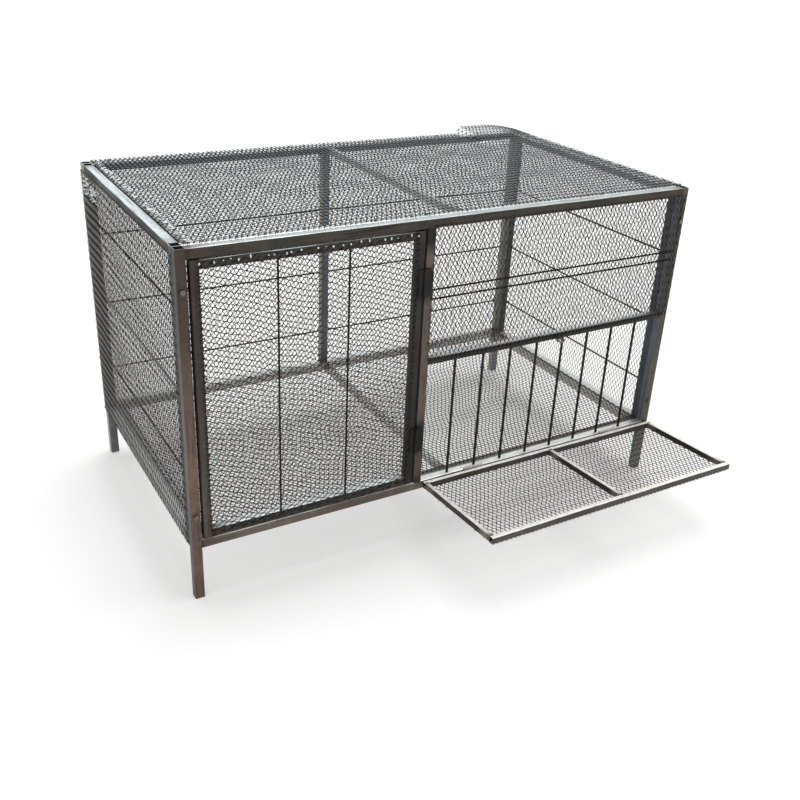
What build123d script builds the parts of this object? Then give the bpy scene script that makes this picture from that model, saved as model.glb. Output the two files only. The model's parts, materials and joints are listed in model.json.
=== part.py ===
"""Poultry cage of bolted tube-and-net panels, with a side-hung door and a feeding flap that folds up.

Millimetres, +Z up, -Y is the front. The origin is under the middle of the cage with its flap lowered,
on the ground that the four legs stand on.
"""

import os
from math import ceil, cos, radians, sin, sqrt

from build123d import *

# Body, measured over the tube frames
body_width = 1200.0
body_depth = 670.0
body_height = 620.0
leg_length = 120.0

# Square tube sections, each with its wall
frame_tube = 20.0
frame_wall = 1.2
rail_tube = 16.0
rail_wall = 1.0
door_tube = 18.0
door_wall = 1.0
flap_tube = 15.0
flap_wall = 1.0
tube_corner = 1.4

# Round bars and rods
feeder_bar_diameter = 6.0
feeder_bar_count = 8
rod_diameter = 4.0

# Front panel: the door bay, and the feeding opening under the window
door_bay_width = 485.0
feeding_height = 284.0
window_rod_rise = 131.0
window_rod_spacing = 20.0

# Door clearances in its bay, and its upright rods
door_latch_gap = 5.0
door_hinge_gap = 4.0
door_top_gap = 2.5
door_foot_gap = 2.0
door_rod_count = 2

# Feeding flap, and how far it is tipped up where it rests
flap_depth = 270.0
flap_rest_tilt = 4.0
flap_side_gap = 2.0
flap_end_inset = 3.0
flap_middle_offset = 350.0

# Rods across the side and back panels
left_rod_start = 170.0
right_rod_start = 116.0
back_rod_start = 110.0
panel_rod_pitch = 170.0
panel_rod_count = 3

# Nets: sheet, strand and mesh, and how far each laps onto its frame
net_thickness = 1.2
net_strand = 4.0
front_mesh = 90.0
panel_mesh = 176.0
net_edge = 4.0
net_least_gap = 60.0
net_lap = 5.0
net_margin = 2.0

# Butt hinges of the door
door_hinge_height = 60.0
door_hinge_inset = 78.0
door_leaf_width = 14.0
door_knuckle_radius = 3.5
door_pin_radius = 2.0

# Butt hinges of the flap
flap_hinge_width = 50.0
flap_hinge_inset = 110.0
flap_leaf_height = 13.0
flap_knuckle_radius = 3.0
flap_pin_radius = 1.5

# Shared hinge values
leaf_thickness = 2.0
leaf_gap = 0.3
knuckle_gap = 0.4
pin_clearance = 0.05
knuckle_clearance = 0.35
leaf_setback = 0.7

# Panel bolts and their nuts
bolt_radius = 3.0
bolt_hole = 6.4
bolt_head_height = 4.0
bolt_upper_drop = 78.0
bolt_lower_rise = 76.0
bolt_tail = 2.0
spanner_width = 10.0
nut_height = 5.0
nut_clearance = 0.05

# Eye on the mid rail that the folded flap is tied to
eye_radius = 10.0
eye_hole_radius = 6.0
eye_thickness = 3.0
eye_tang = 8.0
eye_reach = 12.0
eye_offset = 341.0

# Planes that the members are placed by
left_x = -body_width / 2
right_x = body_width / 2
base_z = leg_length
top_z = base_z + body_height
rail_top_z = base_z + frame_tube
flap_axis_reach = leaf_thickness + leaf_gap / 2
flap_axis_rise = flap_knuckle_radius + knuckle_clearance
flap_rear = flap_axis_reach
flap_front = flap_rear + flap_depth
flap_low = flap_axis_rise + flap_tube
flap_tilt = radians(flap_rest_tilt)
flap_projection = flap_axis_reach + flap_front * cos(flap_tilt) + (flap_low - tube_corner) * sin(flap_tilt)
front_y = (flap_projection - body_depth - bolt_head_height) / 2
back_y = front_y + body_depth
front_panel_y = front_y + frame_tube / 2
back_panel_y = back_y - frame_tube / 2
left_panel_x = left_x + frame_tube / 2
right_panel_x = right_x - frame_tube / 2
inner_front_y = front_y + frame_tube
inner_back_y = back_y - frame_tube
inner_left_x = left_x + frame_tube
inner_right_x = right_x - frame_tube

# Front panel members
mid_post_x = inner_left_x + door_bay_width + frame_tube / 2
bay_right_x = mid_post_x - frame_tube / 2
feeding_left_x = mid_post_x + frame_tube / 2
mid_rail_low_z = rail_top_z + feeding_height
mid_rail_z = mid_rail_low_z + rail_tube / 2
mid_rail_top_z = mid_rail_low_z + rail_tube
top_rail_low_z = top_z - frame_tube
top_rail_z = top_z - frame_tube / 2
bottom_rail_z = base_z + frame_tube / 2

# Door
door_left_x = inner_left_x + door_latch_gap
door_right_x = bay_right_x - door_hinge_gap
door_low_z = rail_top_z + door_foot_gap
door_top_z = top_rail_low_z - door_top_gap
door_y = front_y + door_tube / 2
door_axis_x = bay_right_x - door_hinge_gap / 2
door_axis_y = front_y - door_knuckle_radius

# Flap, in a frame of its own: its origin is on the hinge line, and it is tipped up by the rest tilt
flap_axis_y = front_y - flap_axis_reach
flap_axis_z = rail_top_z + flap_axis_rise
flap_left_x = feeding_left_x + flap_side_gap
flap_right_x = right_x - flap_end_inset
flap_frame = Plane(
    origin=(0, flap_axis_y, flap_axis_z),
    x_dir=(1, 0, 0),
    z_dir=(0, sin(flap_tilt), cos(flap_tilt)),
)

os.makedirs("parts", exist_ok=True)


def keep(piece, name):
    """Label a finished piece and write its STEP file."""
    piece.part.label = name
    export_step(piece.part, f"parts/{name}.step")


def across_plane(frame, x):
    """The plane at x that looks along the frame's X, with its own axes along the frame's Y and Z."""
    return Plane(origin=frame.origin, x_dir=frame.y_dir, z_dir=frame.x_dir).offset(x)


def facing_plane(frame, y):
    """The plane at y that looks along the frame's -Y, with its own axes along the frame's X and Z."""
    return Plane(origin=frame.origin, x_dir=frame.x_dir, z_dir=-frame.y_dir).offset(-y)


def tube_section(place, side, wall):
    """The section of a square tube in the sketch that is open: corners taken off outside, square inside."""
    with BuildSketch(mode=Mode.PRIVATE) as section:
        outline = Rectangle(side, side)
        chamfer(outline.vertices(), tube_corner)
        Rectangle(side - 2 * wall, side - 2 * wall, mode=Mode.SUBTRACT)
    with Locations(place):
        add(section.sketch)


def cross_tube(x_from, x_to, y, z, side, wall, frame=Plane.XY):
    """A tube that runs along X."""
    with BuildPart() as member:
        with BuildSketch(across_plane(frame, x_from)):
            tube_section((y, z), side, wall)
        extrude(amount=x_to - x_from)
    return member


def depth_tube(x, y_from, y_to, z, side, wall, frame=Plane.XY):
    """A tube that runs from the front towards the back."""
    with BuildPart() as member:
        with BuildSketch(facing_plane(frame, y_to)):
            tube_section((x, z), side, wall)
        extrude(amount=y_to - y_from)
    return member


def upright_tube(x, y, z_from, z_to, side, wall, bolt_heights=()):
    """An upright tube, punched square from front to back at each bolt height."""
    with BuildPart() as member:
        with BuildSketch(Plane.XY.offset(z_from)):
            tube_section((x, y), side, wall)
        extrude(amount=z_to - z_from)
        if bolt_heights:
            with BuildSketch(facing_plane(Plane.XY, y)):
                with Locations([(x, height) for height in bolt_heights]):
                    Rectangle(bolt_hole, bolt_hole)
            extrude(amount=side, both=True, mode=Mode.SUBTRACT)
    return member


def cross_rods(spans, y, heights, diameter):
    """Round rods along X, one in each span at each height."""
    with BuildPart() as rods:
        for x_from, x_to in spans:
            with BuildSketch(across_plane(Plane.XY, x_from)):
                with Locations([(y, height) for height in heights]):
                    Circle(diameter / 2)
            extrude(amount=x_to - x_from)
    return rods


def depth_rods(x, y_from, y_to, heights, diameter):
    """Round rods from front to back, one at each height."""
    with BuildPart() as rods:
        with BuildSketch(facing_plane(Plane.XY, y_to)):
            with Locations([(x, height) for height in heights]):
                Circle(diameter / 2)
        extrude(amount=y_to - y_from)
    return rods


def upright_rods(places, z_from, z_to, diameter):
    """Upright round rods, one at each place."""
    with BuildPart() as rods:
        with BuildSketch(Plane.XY.offset(z_from)):
            with Locations(places):
                Circle(diameter / 2)
        extrude(amount=z_to - z_from)
    return rods


def net_sheet(plane, across, along, mesh):
    """A net as one holed sheet: staggered six-sided gaps, cut off at a plain selvedge.

    The plane is the sheet's inner face, across and along are (low, high) on the plane's own axes.
    """
    width = across[1] - across[0]
    height = along[1] - along[0]
    columns = 2 * ceil(width / (sqrt(3) * mesh)) + 1
    rows = 2 * ceil(height / (2 * mesh)) + 1
    middle = ((across[0] + across[1]) / 2, (along[0] + along[1]) / 2)
    with BuildSketch() as gaps:
        with HexLocations(mesh / 2, columns, rows):
            RegularPolygon((mesh - net_strand) / 2, 6, major_radius=False)
        Rectangle(width - 2 * net_edge, height - 2 * net_edge, mode=Mode.INTERSECT)
    open_gaps = gaps.faces().filter_by(lambda gap: gap.area > net_least_gap)
    with BuildPart() as sheet:
        with BuildSketch(plane):
            with Locations(middle):
                Rectangle(width, height)
                add(open_gaps, mode=Mode.SUBTRACT)
        extrude(amount=net_thickness)
    return sheet


def rod_heights(start):
    """Heights of a panel's rods, from the lowest."""
    return [base_z + start + step * panel_rod_pitch for step in range(panel_rod_count)]


bolt_heights = (base_z + bolt_lower_rise, top_z - bolt_upper_drop)

# Front panel: two posts that run down as legs, and the rails and mid post welded between them
front_left_post = upright_tube(left_panel_x, front_panel_y, 0, top_z, frame_tube, frame_wall, bolt_heights)
keep(front_left_post, "front_left_post")

front_right_post = upright_tube(right_panel_x, front_panel_y, 0, top_z, frame_tube, frame_wall, bolt_heights)
keep(front_right_post, "front_right_post")

front_top_rail = cross_tube(inner_left_x, inner_right_x, front_panel_y, top_rail_z, frame_tube, frame_wall)
keep(front_top_rail, "front_top_rail")

front_bottom_rail = cross_tube(inner_left_x, inner_right_x, front_panel_y, bottom_rail_z, frame_tube, frame_wall)
keep(front_bottom_rail, "front_bottom_rail")

front_mid_post = upright_tube(mid_post_x, front_panel_y, rail_top_z, top_rail_low_z, frame_tube, frame_wall)
keep(front_mid_post, "front_mid_post")

front_mid_rail = cross_tube(
    feeding_left_x, inner_right_x, front_y + rail_tube / 2, mid_rail_z, rail_tube, rail_wall
)
keep(front_mid_rail, "front_mid_rail")

# Feeding opening: evenly spaced upright bars between the bottom rail and the mid rail
bar_spacing = (inner_right_x - feeding_left_x) / (feeder_bar_count + 1)
bar_places = [
    (feeding_left_x + bar_spacing * (bar + 1), front_y + rail_tube / 2) for bar in range(feeder_bar_count)
]
feeder_bars = upright_rods(bar_places, rail_top_z, mid_rail_low_z, feeder_bar_diameter)
keep(feeder_bars, "feeder_bars")

# Window: two rods close together behind a net that laps onto the tubes around it
window_rod_z = mid_rail_top_z + window_rod_rise
window_rods = cross_rods(
    [(feeding_left_x, inner_right_x)],
    front_y + rod_diameter / 2,
    [window_rod_z, window_rod_z + window_rod_spacing],
    rod_diameter,
)
keep(window_rods, "window_rods")

window_net = net_sheet(
    facing_plane(Plane.XY, front_y),
    (feeding_left_x - net_lap, inner_right_x + net_margin),
    (mid_rail_z, top_rail_low_z + net_lap),
    front_mesh,
)
keep(window_net, "window_net")

# Eye: a flat ring on a tang, level, at the foot of the mid rail's face
eye_place = (feeding_left_x + eye_offset, front_y - eye_reach)
with BuildPart() as catch_eye:
    with BuildSketch(Plane.XY.offset(mid_rail_low_z)):
        with Locations(eye_place):
            Circle(eye_radius)
            Rectangle(eye_tang, eye_reach, align=(Align.CENTER, Align.MIN))
            Circle(eye_hole_radius, mode=Mode.SUBTRACT)
    extrude(amount=eye_thickness)
keep(catch_eye, "catch_eye")

# Back panel: posts that run down as legs, a mid post between the rails, rods flush with the outer face
back_left_post = upright_tube(left_panel_x, back_panel_y, 0, top_z, frame_tube, frame_wall, bolt_heights)
keep(back_left_post, "back_left_post")

back_right_post = upright_tube(right_panel_x, back_panel_y, 0, top_z, frame_tube, frame_wall, bolt_heights)
keep(back_right_post, "back_right_post")

back_top_rail = cross_tube(inner_left_x, inner_right_x, back_panel_y, top_rail_z, frame_tube, frame_wall)
keep(back_top_rail, "back_top_rail")

back_bottom_rail = cross_tube(inner_left_x, inner_right_x, back_panel_y, bottom_rail_z, frame_tube, frame_wall)
keep(back_bottom_rail, "back_bottom_rail")

back_mid_post = upright_tube(0, back_panel_y, rail_top_z, top_rail_low_z, frame_tube, frame_wall)
keep(back_mid_post, "back_mid_post")

back_rods = cross_rods(
    [(inner_left_x, -frame_tube / 2), (frame_tube / 2, inner_right_x)],
    back_y - rod_diameter / 2,
    rod_heights(back_rod_start),
    rod_diameter,
)
keep(back_rods, "back_rods")

back_net = net_sheet(
    Plane(origin=(0, back_y, 0), x_dir=(-1, 0, 0), z_dir=(0, 1, 0)),
    (-inner_right_x - net_margin, -inner_left_x + net_margin),
    (base_z + net_margin, top_z - net_margin),
    panel_mesh,
)
keep(back_net, "back_net")

# Left and right panels: stiles bolted to the posts, rails between them, rods flush with the outer face,
# and a net that laps over the back post
side_panels = [
    ("left", left_panel_x, left_x, left_x + rod_diameter / 2, -1, left_rod_start),
    ("right", right_panel_x, right_x, right_x - rod_diameter / 2, 1, right_rod_start),
]
front_stile_y = inner_front_y + frame_tube / 2
back_stile_y = inner_back_y - frame_tube / 2
side_rail_from_y = inner_front_y + frame_tube
side_rail_to_y = inner_back_y - frame_tube

for side, panel_x, outer_x, rod_x, outward, rod_start in side_panels:
    front_stile = upright_tube(panel_x, front_stile_y, base_z, top_z, frame_tube, frame_wall, bolt_heights)
    keep(front_stile, f"{side}_front_stile")

    back_stile = upright_tube(panel_x, back_stile_y, base_z, top_z, frame_tube, frame_wall, bolt_heights)
    keep(back_stile, f"{side}_back_stile")

    side_top_rail = depth_tube(panel_x, side_rail_from_y, side_rail_to_y, top_rail_z, frame_tube, frame_wall)
    keep(side_top_rail, f"{side}_top_rail")

    side_bottom_rail = depth_tube(
        panel_x, side_rail_from_y, side_rail_to_y, bottom_rail_z, frame_tube, frame_wall
    )
    keep(side_bottom_rail, f"{side}_bottom_rail")

    side_rods = depth_rods(rod_x, side_rail_from_y, side_rail_to_y, rod_heights(rod_start), rod_diameter)
    keep(side_rods, f"{side}_rods")

    side_net = net_sheet(
        Plane(origin=(outer_x, 0, 0), x_dir=(0, outward, 0), z_dir=(outward, 0, 0)),
        sorted((outward * (inner_front_y + net_margin), outward * (back_y - net_margin))),
        (base_z + net_margin, top_rail_low_z + net_lap),
        panel_mesh,
    )
    keep(side_net, f"{side}_net")

# Roof and floor panels: lighter frames inside the rails around them and flush with their tops, each under
# a net, which on the roof laps over the right and back rails
level_panels = [
    ("roof", top_z, right_x, back_y),
    ("floor", rail_top_z, inner_right_x, inner_back_y),
]
level_span = (inner_front_y + rail_tube, inner_back_y - rail_tube)

for level, level_top_z, net_right_x, net_back_y in level_panels:
    level_z = level_top_z - rail_tube / 2
    level_front_rail = cross_tube(
        inner_left_x, inner_right_x, inner_front_y + rail_tube / 2, level_z, rail_tube, rail_wall
    )
    keep(level_front_rail, f"{level}_front_rail")

    level_back_rail = cross_tube(
        inner_left_x, inner_right_x, inner_back_y - rail_tube / 2, level_z, rail_tube, rail_wall
    )
    keep(level_back_rail, f"{level}_back_rail")

    with BuildPart() as level_end_rails:
        with BuildSketch(facing_plane(Plane.XY, level_span[1])):
            tube_section((inner_left_x + rail_tube / 2, level_z), rail_tube, rail_wall)
            tube_section((inner_right_x - rail_tube / 2, level_z), rail_tube, rail_wall)
        extrude(amount=level_span[1] - level_span[0])
    keep(level_end_rails, f"{level}_end_rails")

    level_cross_rail = depth_tube(0, *level_span, level_z, rail_tube, rail_wall)
    keep(level_cross_rail, f"{level}_cross_rail")

    level_net = net_sheet(
        Plane.XY.offset(level_top_z),
        (inner_left_x + net_margin, net_right_x - net_margin),
        (inner_front_y + net_margin, net_back_y - net_margin),
        panel_mesh,
    )
    keep(level_net, f"{level}_net")

# Door: stiles the full height, rails between them, and a net over its face
door_left_stile = upright_tube(door_left_x + door_tube / 2, door_y, door_low_z, door_top_z, door_tube, door_wall)
keep(door_left_stile, "door_left_stile")

door_right_stile = upright_tube(
    door_right_x - door_tube / 2, door_y, door_low_z, door_top_z, door_tube, door_wall
)
keep(door_right_stile, "door_right_stile")

door_span = (door_left_x + door_tube, door_right_x - door_tube)
door_top_rail = cross_tube(*door_span, door_y, door_top_z - door_tube / 2, door_tube, door_wall)
keep(door_top_rail, "door_top_rail")

door_bottom_rail = cross_tube(*door_span, door_y, door_low_z + door_tube / 2, door_tube, door_wall)
keep(door_bottom_rail, "door_bottom_rail")

door_rod_spacing = (door_span[1] - door_span[0]) / (door_rod_count + 1)
door_rod_places = [
    (door_span[0] + door_rod_spacing * (rod + 1), front_y + rod_diameter / 2) for rod in range(door_rod_count)
]
door_rods = upright_rods(door_rod_places, door_low_z + door_tube, door_top_z - door_tube, rod_diameter)
keep(door_rods, "door_rods")

door_net = net_sheet(
    facing_plane(Plane.XY, front_y),
    (door_span[0] - net_lap, door_axis_x - door_leaf_width - net_margin),
    (door_low_z + net_margin, door_top_z - net_margin),
    front_mesh,
)
keep(door_net, "door_net")

# Door hinges: leaves flat on the mid post and the stile, knuckles in front of the gap between them
door_knuckle = (door_hinge_height - knuckle_gap) / 2
door_hinge_feet = [
    door_low_z + door_hinge_inset,
    door_top_z - door_hinge_inset - door_hinge_height,
]


def door_leaves(direction, knuckle_start):
    """One side's leaves: a flat plate each, and a knuckle on a web from it, bored for the pin."""
    plate = leaf_setback + door_knuckle_radius
    plate_width = door_leaf_width - plate
    leaf_y = front_y - leaf_thickness / 2
    with BuildPart() as leaves:
        for foot in door_hinge_feet:
            with BuildSketch(Plane.XY.offset(foot)):
                with Locations((door_axis_x + direction * (plate + plate_width / 2), leaf_y)):
                    Rectangle(plate_width, leaf_thickness)
            extrude(amount=door_hinge_height)
            with BuildSketch(Plane.XY.offset(foot + knuckle_start)):
                with Locations((door_axis_x + direction * plate / 2, leaf_y)):
                    Rectangle(plate, leaf_thickness)
                with Locations((door_axis_x, door_axis_y)):
                    Circle(door_knuckle_radius)
                    Circle(door_pin_radius + pin_clearance, mode=Mode.SUBTRACT)
            extrude(amount=door_knuckle)
    return leaves


door_hinge_post_leaves = door_leaves(1, 0)
keep(door_hinge_post_leaves, "door_hinge_post_leaves")

door_hinge_door_leaves = door_leaves(-1, door_knuckle + knuckle_gap)
keep(door_hinge_door_leaves, "door_hinge_door_leaves")

with BuildPart() as door_hinge_pins:
    for foot in door_hinge_feet:
        with BuildSketch(Plane.XY.offset(foot)):
            with Locations((door_axis_x, door_axis_y)):
                Circle(door_pin_radius)
        extrude(amount=door_hinge_height)
keep(door_hinge_pins, "door_hinge_pins")

# Flap: long rails the full width, side rails and a middle rail between them, a net under the frame
flap_z = -flap_axis_rise - flap_tube / 2
flap_rear_rail = cross_tube(
    flap_left_x, flap_right_x, -flap_rear - flap_tube / 2, flap_z, flap_tube, flap_wall, flap_frame
)
keep(flap_rear_rail, "flap_rear_rail")

flap_front_rail = cross_tube(
    flap_left_x, flap_right_x, -flap_front + flap_tube / 2, flap_z, flap_tube, flap_wall, flap_frame
)
keep(flap_front_rail, "flap_front_rail")

flap_ribs = [
    ("flap_left_rail", flap_left_x + flap_tube / 2),
    ("flap_middle_rail", flap_left_x + flap_middle_offset),
    ("flap_right_rail", flap_right_x - flap_tube / 2),
]
for rib_name, rib_x in flap_ribs:
    flap_rib = depth_tube(
        rib_x, -flap_front + flap_tube, -flap_rear - flap_tube, flap_z, flap_tube, flap_wall, flap_frame
    )
    keep(flap_rib, rib_name)

flap_net = net_sheet(
    Plane(origin=flap_frame.origin, x_dir=flap_frame.x_dir, z_dir=-flap_frame.z_dir).offset(flap_low),
    (flap_left_x + net_margin, flap_right_x - net_margin),
    (flap_rear + net_margin, flap_front - net_margin),
    front_mesh,
)
keep(flap_net, "flap_net")

# Flap hinges: leaves that close on each other between the two rails, knuckles on top of the seam
flap_knuckle = (flap_hinge_width - knuckle_gap) / 2
flap_hinge_starts = [
    flap_left_x + flap_hinge_inset,
    flap_right_x - flap_hinge_inset - flap_hinge_width,
]
leaf_top_z = rail_top_z - knuckle_clearance


def flap_leaves(face_y, knuckle_start):
    """One side's leaves: an upright plate behind face_y, and a knuckle on a web above it, bored for the pin."""
    leaf_y = face_y + leaf_thickness / 2
    with BuildPart() as leaves:
        for start_x in flap_hinge_starts:
            with BuildSketch(across_plane(Plane.XY, start_x)):
                with Locations((leaf_y, leaf_top_z - flap_leaf_height / 2)):
                    Rectangle(leaf_thickness, flap_leaf_height)
            extrude(amount=flap_hinge_width)
            with BuildSketch(across_plane(Plane.XY, start_x + knuckle_start)):
                with Locations((leaf_y, (leaf_top_z + flap_axis_z) / 2)):
                    Rectangle(leaf_thickness, flap_axis_z - leaf_top_z)
                with Locations((flap_axis_y, flap_axis_z)):
                    Circle(flap_knuckle_radius)
                    Circle(flap_pin_radius + pin_clearance, mode=Mode.SUBTRACT)
            extrude(amount=flap_knuckle)
    return leaves


flap_hinge_frame_leaves = flap_leaves(front_y - leaf_thickness, 0)
keep(flap_hinge_frame_leaves, "flap_hinge_frame_leaves")

flap_hinge_flap_leaves = flap_leaves(front_y - 2 * leaf_thickness - leaf_gap, flap_knuckle + knuckle_gap)
keep(flap_hinge_flap_leaves, "flap_hinge_flap_leaves")

with BuildPart() as flap_hinge_pins:
    for start_x in flap_hinge_starts:
        with BuildSketch(across_plane(Plane.XY, start_x)):
            with Locations((flap_axis_y, flap_axis_z)):
                Circle(flap_pin_radius)
        extrude(amount=flap_hinge_width)
keep(flap_hinge_pins, "flap_hinge_pins")

# Panel bolts: through each post and the stile behind it, head outside, nut inside
bolt_grip = 2 * frame_tube
bolt_length = bolt_grip + nut_height + bolt_tail
bolt_sites = [
    (panel_x, face_y, inward, height)
    for panel_x in (left_panel_x, right_panel_x)
    for face_y, inward in ((front_y, 1), (back_y, -1))
    for height in bolt_heights
]

with BuildPart() as panel_bolts:
    for site_x, face_y, inward, height in bolt_sites:
        with BuildSketch(facing_plane(Plane.XY, face_y)):
            with Locations((site_x, height)):
                RegularPolygon(spanner_width / 2, 6, major_radius=False)
        extrude(amount=inward * bolt_head_height)
        with BuildSketch(facing_plane(Plane.XY, face_y)):
            with Locations((site_x, height)):
                Circle(bolt_radius)
        extrude(amount=-inward * bolt_length)
keep(panel_bolts, "panel_bolts")

with BuildPart() as panel_nuts:
    for site_x, face_y, inward, height in bolt_sites:
        with BuildSketch(facing_plane(Plane.XY, face_y + inward * bolt_grip)):
            with Locations((site_x, height)):
                RegularPolygon(spanner_width / 2, 6, major_radius=False)
                Circle(bolt_radius + nut_clearance, mode=Mode.SUBTRACT)
        extrude(amount=-inward * nut_height)
keep(panel_nuts, "panel_nuts")
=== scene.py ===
"""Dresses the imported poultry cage: zinc tube, twisted wire netting, black rods, welds, studio and camera.

Metres, +Z up, -Y is the front, in the CAD model's own frame. Every tube and net takes its place and its
length from the node that it stands for.
"""

import json
import logging
import math
from dataclasses import dataclass, field
from enum import Enum
from functools import cache
from itertools import product
from typing import Any, Mapping, Sequence

import bpy
import numpy as np
from mathutils import Matrix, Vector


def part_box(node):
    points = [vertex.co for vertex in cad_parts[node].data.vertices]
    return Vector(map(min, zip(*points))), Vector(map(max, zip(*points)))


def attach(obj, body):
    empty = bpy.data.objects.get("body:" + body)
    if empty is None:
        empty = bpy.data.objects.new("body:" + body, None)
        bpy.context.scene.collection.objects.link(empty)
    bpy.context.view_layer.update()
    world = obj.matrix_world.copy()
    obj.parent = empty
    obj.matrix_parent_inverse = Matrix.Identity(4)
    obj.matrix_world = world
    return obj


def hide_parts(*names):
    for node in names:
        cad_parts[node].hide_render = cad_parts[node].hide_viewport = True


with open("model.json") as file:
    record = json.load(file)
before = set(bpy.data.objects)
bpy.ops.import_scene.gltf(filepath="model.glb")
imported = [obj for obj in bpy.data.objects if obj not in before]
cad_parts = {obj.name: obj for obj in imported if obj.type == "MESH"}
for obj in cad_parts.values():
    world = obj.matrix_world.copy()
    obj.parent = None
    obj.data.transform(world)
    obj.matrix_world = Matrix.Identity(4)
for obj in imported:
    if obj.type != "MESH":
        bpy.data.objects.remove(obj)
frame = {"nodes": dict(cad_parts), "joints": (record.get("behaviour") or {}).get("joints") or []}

log = logging.getLogger("cage")

MM = 0.001
FLOAT_SOCKET = "NodeSocketFloat"
VECTOR_SOCKET = "NodeSocketVector"
WHITE = (1.0, 1.0, 1.0, 1.0)

Rgb = tuple[float, float, float]
Point = tuple[float, float, float]


class Axis(Enum):
    """A direction of the frame that a member, a rod or a wire runs in."""

    X = 0
    Y = 1
    Z = 2

    def unit(self) -> np.ndarray:
        """The axis as a unit vector."""
        return np.eye(3)[self.value]


@dataclass(frozen=True)
class Tilt:
    """A turn about a line along X, which lays a tipped panel level for the work on it."""

    pivot: Point = (0.0, 0.0, 0.0)
    degrees: float = 0.0

    def turn(self) -> np.ndarray:
        """The rotation that tips the panel, as a matrix for column vectors."""
        return np.array(Matrix.Rotation(math.radians(self.degrees), 3, "X"))

    def level(self, points: np.ndarray) -> np.ndarray:
        """The points of the tipped panel, laid level."""
        return (points - self.pivot) @ self.turn() + self.pivot

    def tip(self, points: np.ndarray) -> np.ndarray:
        """The points of the level panel, tipped to where they belong."""
        return (points - self.pivot) @ self.turn().T + self.pivot


def linear(colour: Rgb) -> tuple[float, float, float, float]:
    """A screen colour as the linear colour that a shader takes.

    The screen's standard curve is a straight line near black and a power above it.

    Args:
        colour: Screen values from 0 to 255.

    Returns:
        Linear red, green and blue, and a full alpha.
    """
    screen = np.array(colour) / 255
    light = np.where(screen <= 0.04045, screen / 12.92, ((screen + 0.055) / 1.055) ** 2.4)
    return (*light.tolist(), 1.0)


class NodeBench:
    """Places shader nodes in one tree and wires them.

    A Mix node has sockets for every kind of data, several under one name, so those for colours are numbered.
    """

    mix_factor, mix_first, mix_second, mix_result = 0, 6, 7, 2

    def __init__(self, tree: bpy.types.NodeTree) -> None:
        """Takes the tree that the nodes go into."""
        self.tree = tree

    def feed(self, node: bpy.types.Node, inputs: Mapping[str | int, Any]) -> None:
        """Links sockets to a node's inputs, or sets the inputs' own values.

        Args:
            node: The node.
            inputs: Values or sockets by input name or number.
        """
        for key, value in inputs.items():
            if isinstance(value, bpy.types.NodeSocket):
                self.tree.links.new(value, node.inputs[key])
            else:
                node.inputs[key].default_value = value

    def node(
        self, kind: str, inputs: Mapping[str | int, Any] | None = None, **settings: Any
    ) -> bpy.types.Node:
        """Places one node.

        Args:
            kind: Blender's name for the node's type.
            inputs: Values or sockets by input name or number.
            **settings: Properties of the node itself.

        Returns:
            The node.
        """
        made = self.tree.nodes.new(kind)
        for name, value in settings.items():
            setattr(made, name, value)
        self.feed(made, inputs or {})
        return made

    def math(self, operation: str, first: Any, second: Any = 0.0) -> bpy.types.NodeSocket:
        """The result of one sum on two values."""
        return self.node("ShaderNodeMath", {0: first, 1: second}, operation=operation).outputs[0]

    def vector_math(self, operation: str, inputs: Mapping[str | int, Any]) -> Any:
        """Places one sum on vectors and returns its outputs by name."""
        return self.node("ShaderNodeVectorMath", inputs, operation=operation).outputs

    def attribute(self, name: str) -> Any:
        """Places a reader of one of the mesh's attributes and returns its outputs by name."""
        return self.node("ShaderNodeAttribute", attribute_name=name).outputs

    def smooth(self, value: Any, low: float, high: float) -> bpy.types.NodeSocket:
        """Zero below low, one above high, and a smooth step between them."""
        inputs = {"Value": value, "From Min": low, "From Max": high}
        return self.node("ShaderNodeMapRange", inputs, interpolation_type="SMOOTHSTEP").outputs["Result"]

    def spread(self, value: Any, low: float, high: float) -> bpy.types.NodeSocket:
        """A value from 0 to 1 spread evenly from low to high."""
        inputs = {"Value": value, "To Min": low, "To Max": high}
        return self.node("ShaderNodeMapRange", inputs).outputs["Result"]

    def blend(self, mask: Any, first: Any, second: Any, blend_type: str = "MIX") -> bpy.types.NodeSocket:
        """Blends two colours.

        Args:
            mask: How much of the blend there is, from 0 to 1.
            first: The colour where the mask is 0.
            second: The colour that is blended in where it is 1.
            blend_type: Blender's name for the kind of blend.

        Returns:
            The blended colour.
        """
        inputs = {self.mix_factor: mask, self.mix_first: first, self.mix_second: second}
        mixed = self.node("ShaderNodeMix", inputs, data_type="RGBA", blend_type=blend_type)
        return mixed.outputs[self.mix_result]

    def shade(self, colour: Any, value: Any) -> bpy.types.NodeSocket:
        """The colour made lighter or darker by a value around 1."""
        grey = self.node("ShaderNodeCombineXYZ", {0: value, 1: value, 2: value}).outputs[0]
        return self.blend(1.0, colour, grey, "MULTIPLY")

    def noise(self, vector: Any, scale: float, detail: float) -> bpy.types.NodeSocket:
        """Cloudy noise from about 0.3 to 0.7."""
        inputs = {"Vector": vector, "Scale": scale, "Detail": detail}
        return self.node("ShaderNodeTexNoise", inputs).outputs[0]

    def bump(self, height: Any, strength: float, depth: float) -> bpy.types.NodeSocket:
        """The normal of a surface with this relief."""
        inputs = {"Height": height, "Strength": strength, "Distance": depth}
        return self.node("ShaderNodeBump", inputs).outputs["Normal"]

    def group(self, effect: "SurfaceGroup", inputs: Mapping[str, Any]) -> Any:
        """Places a shared effect and returns its outputs by name."""
        return self.node("ShaderNodeGroup", inputs, node_tree=effect.tree()).outputs


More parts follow.
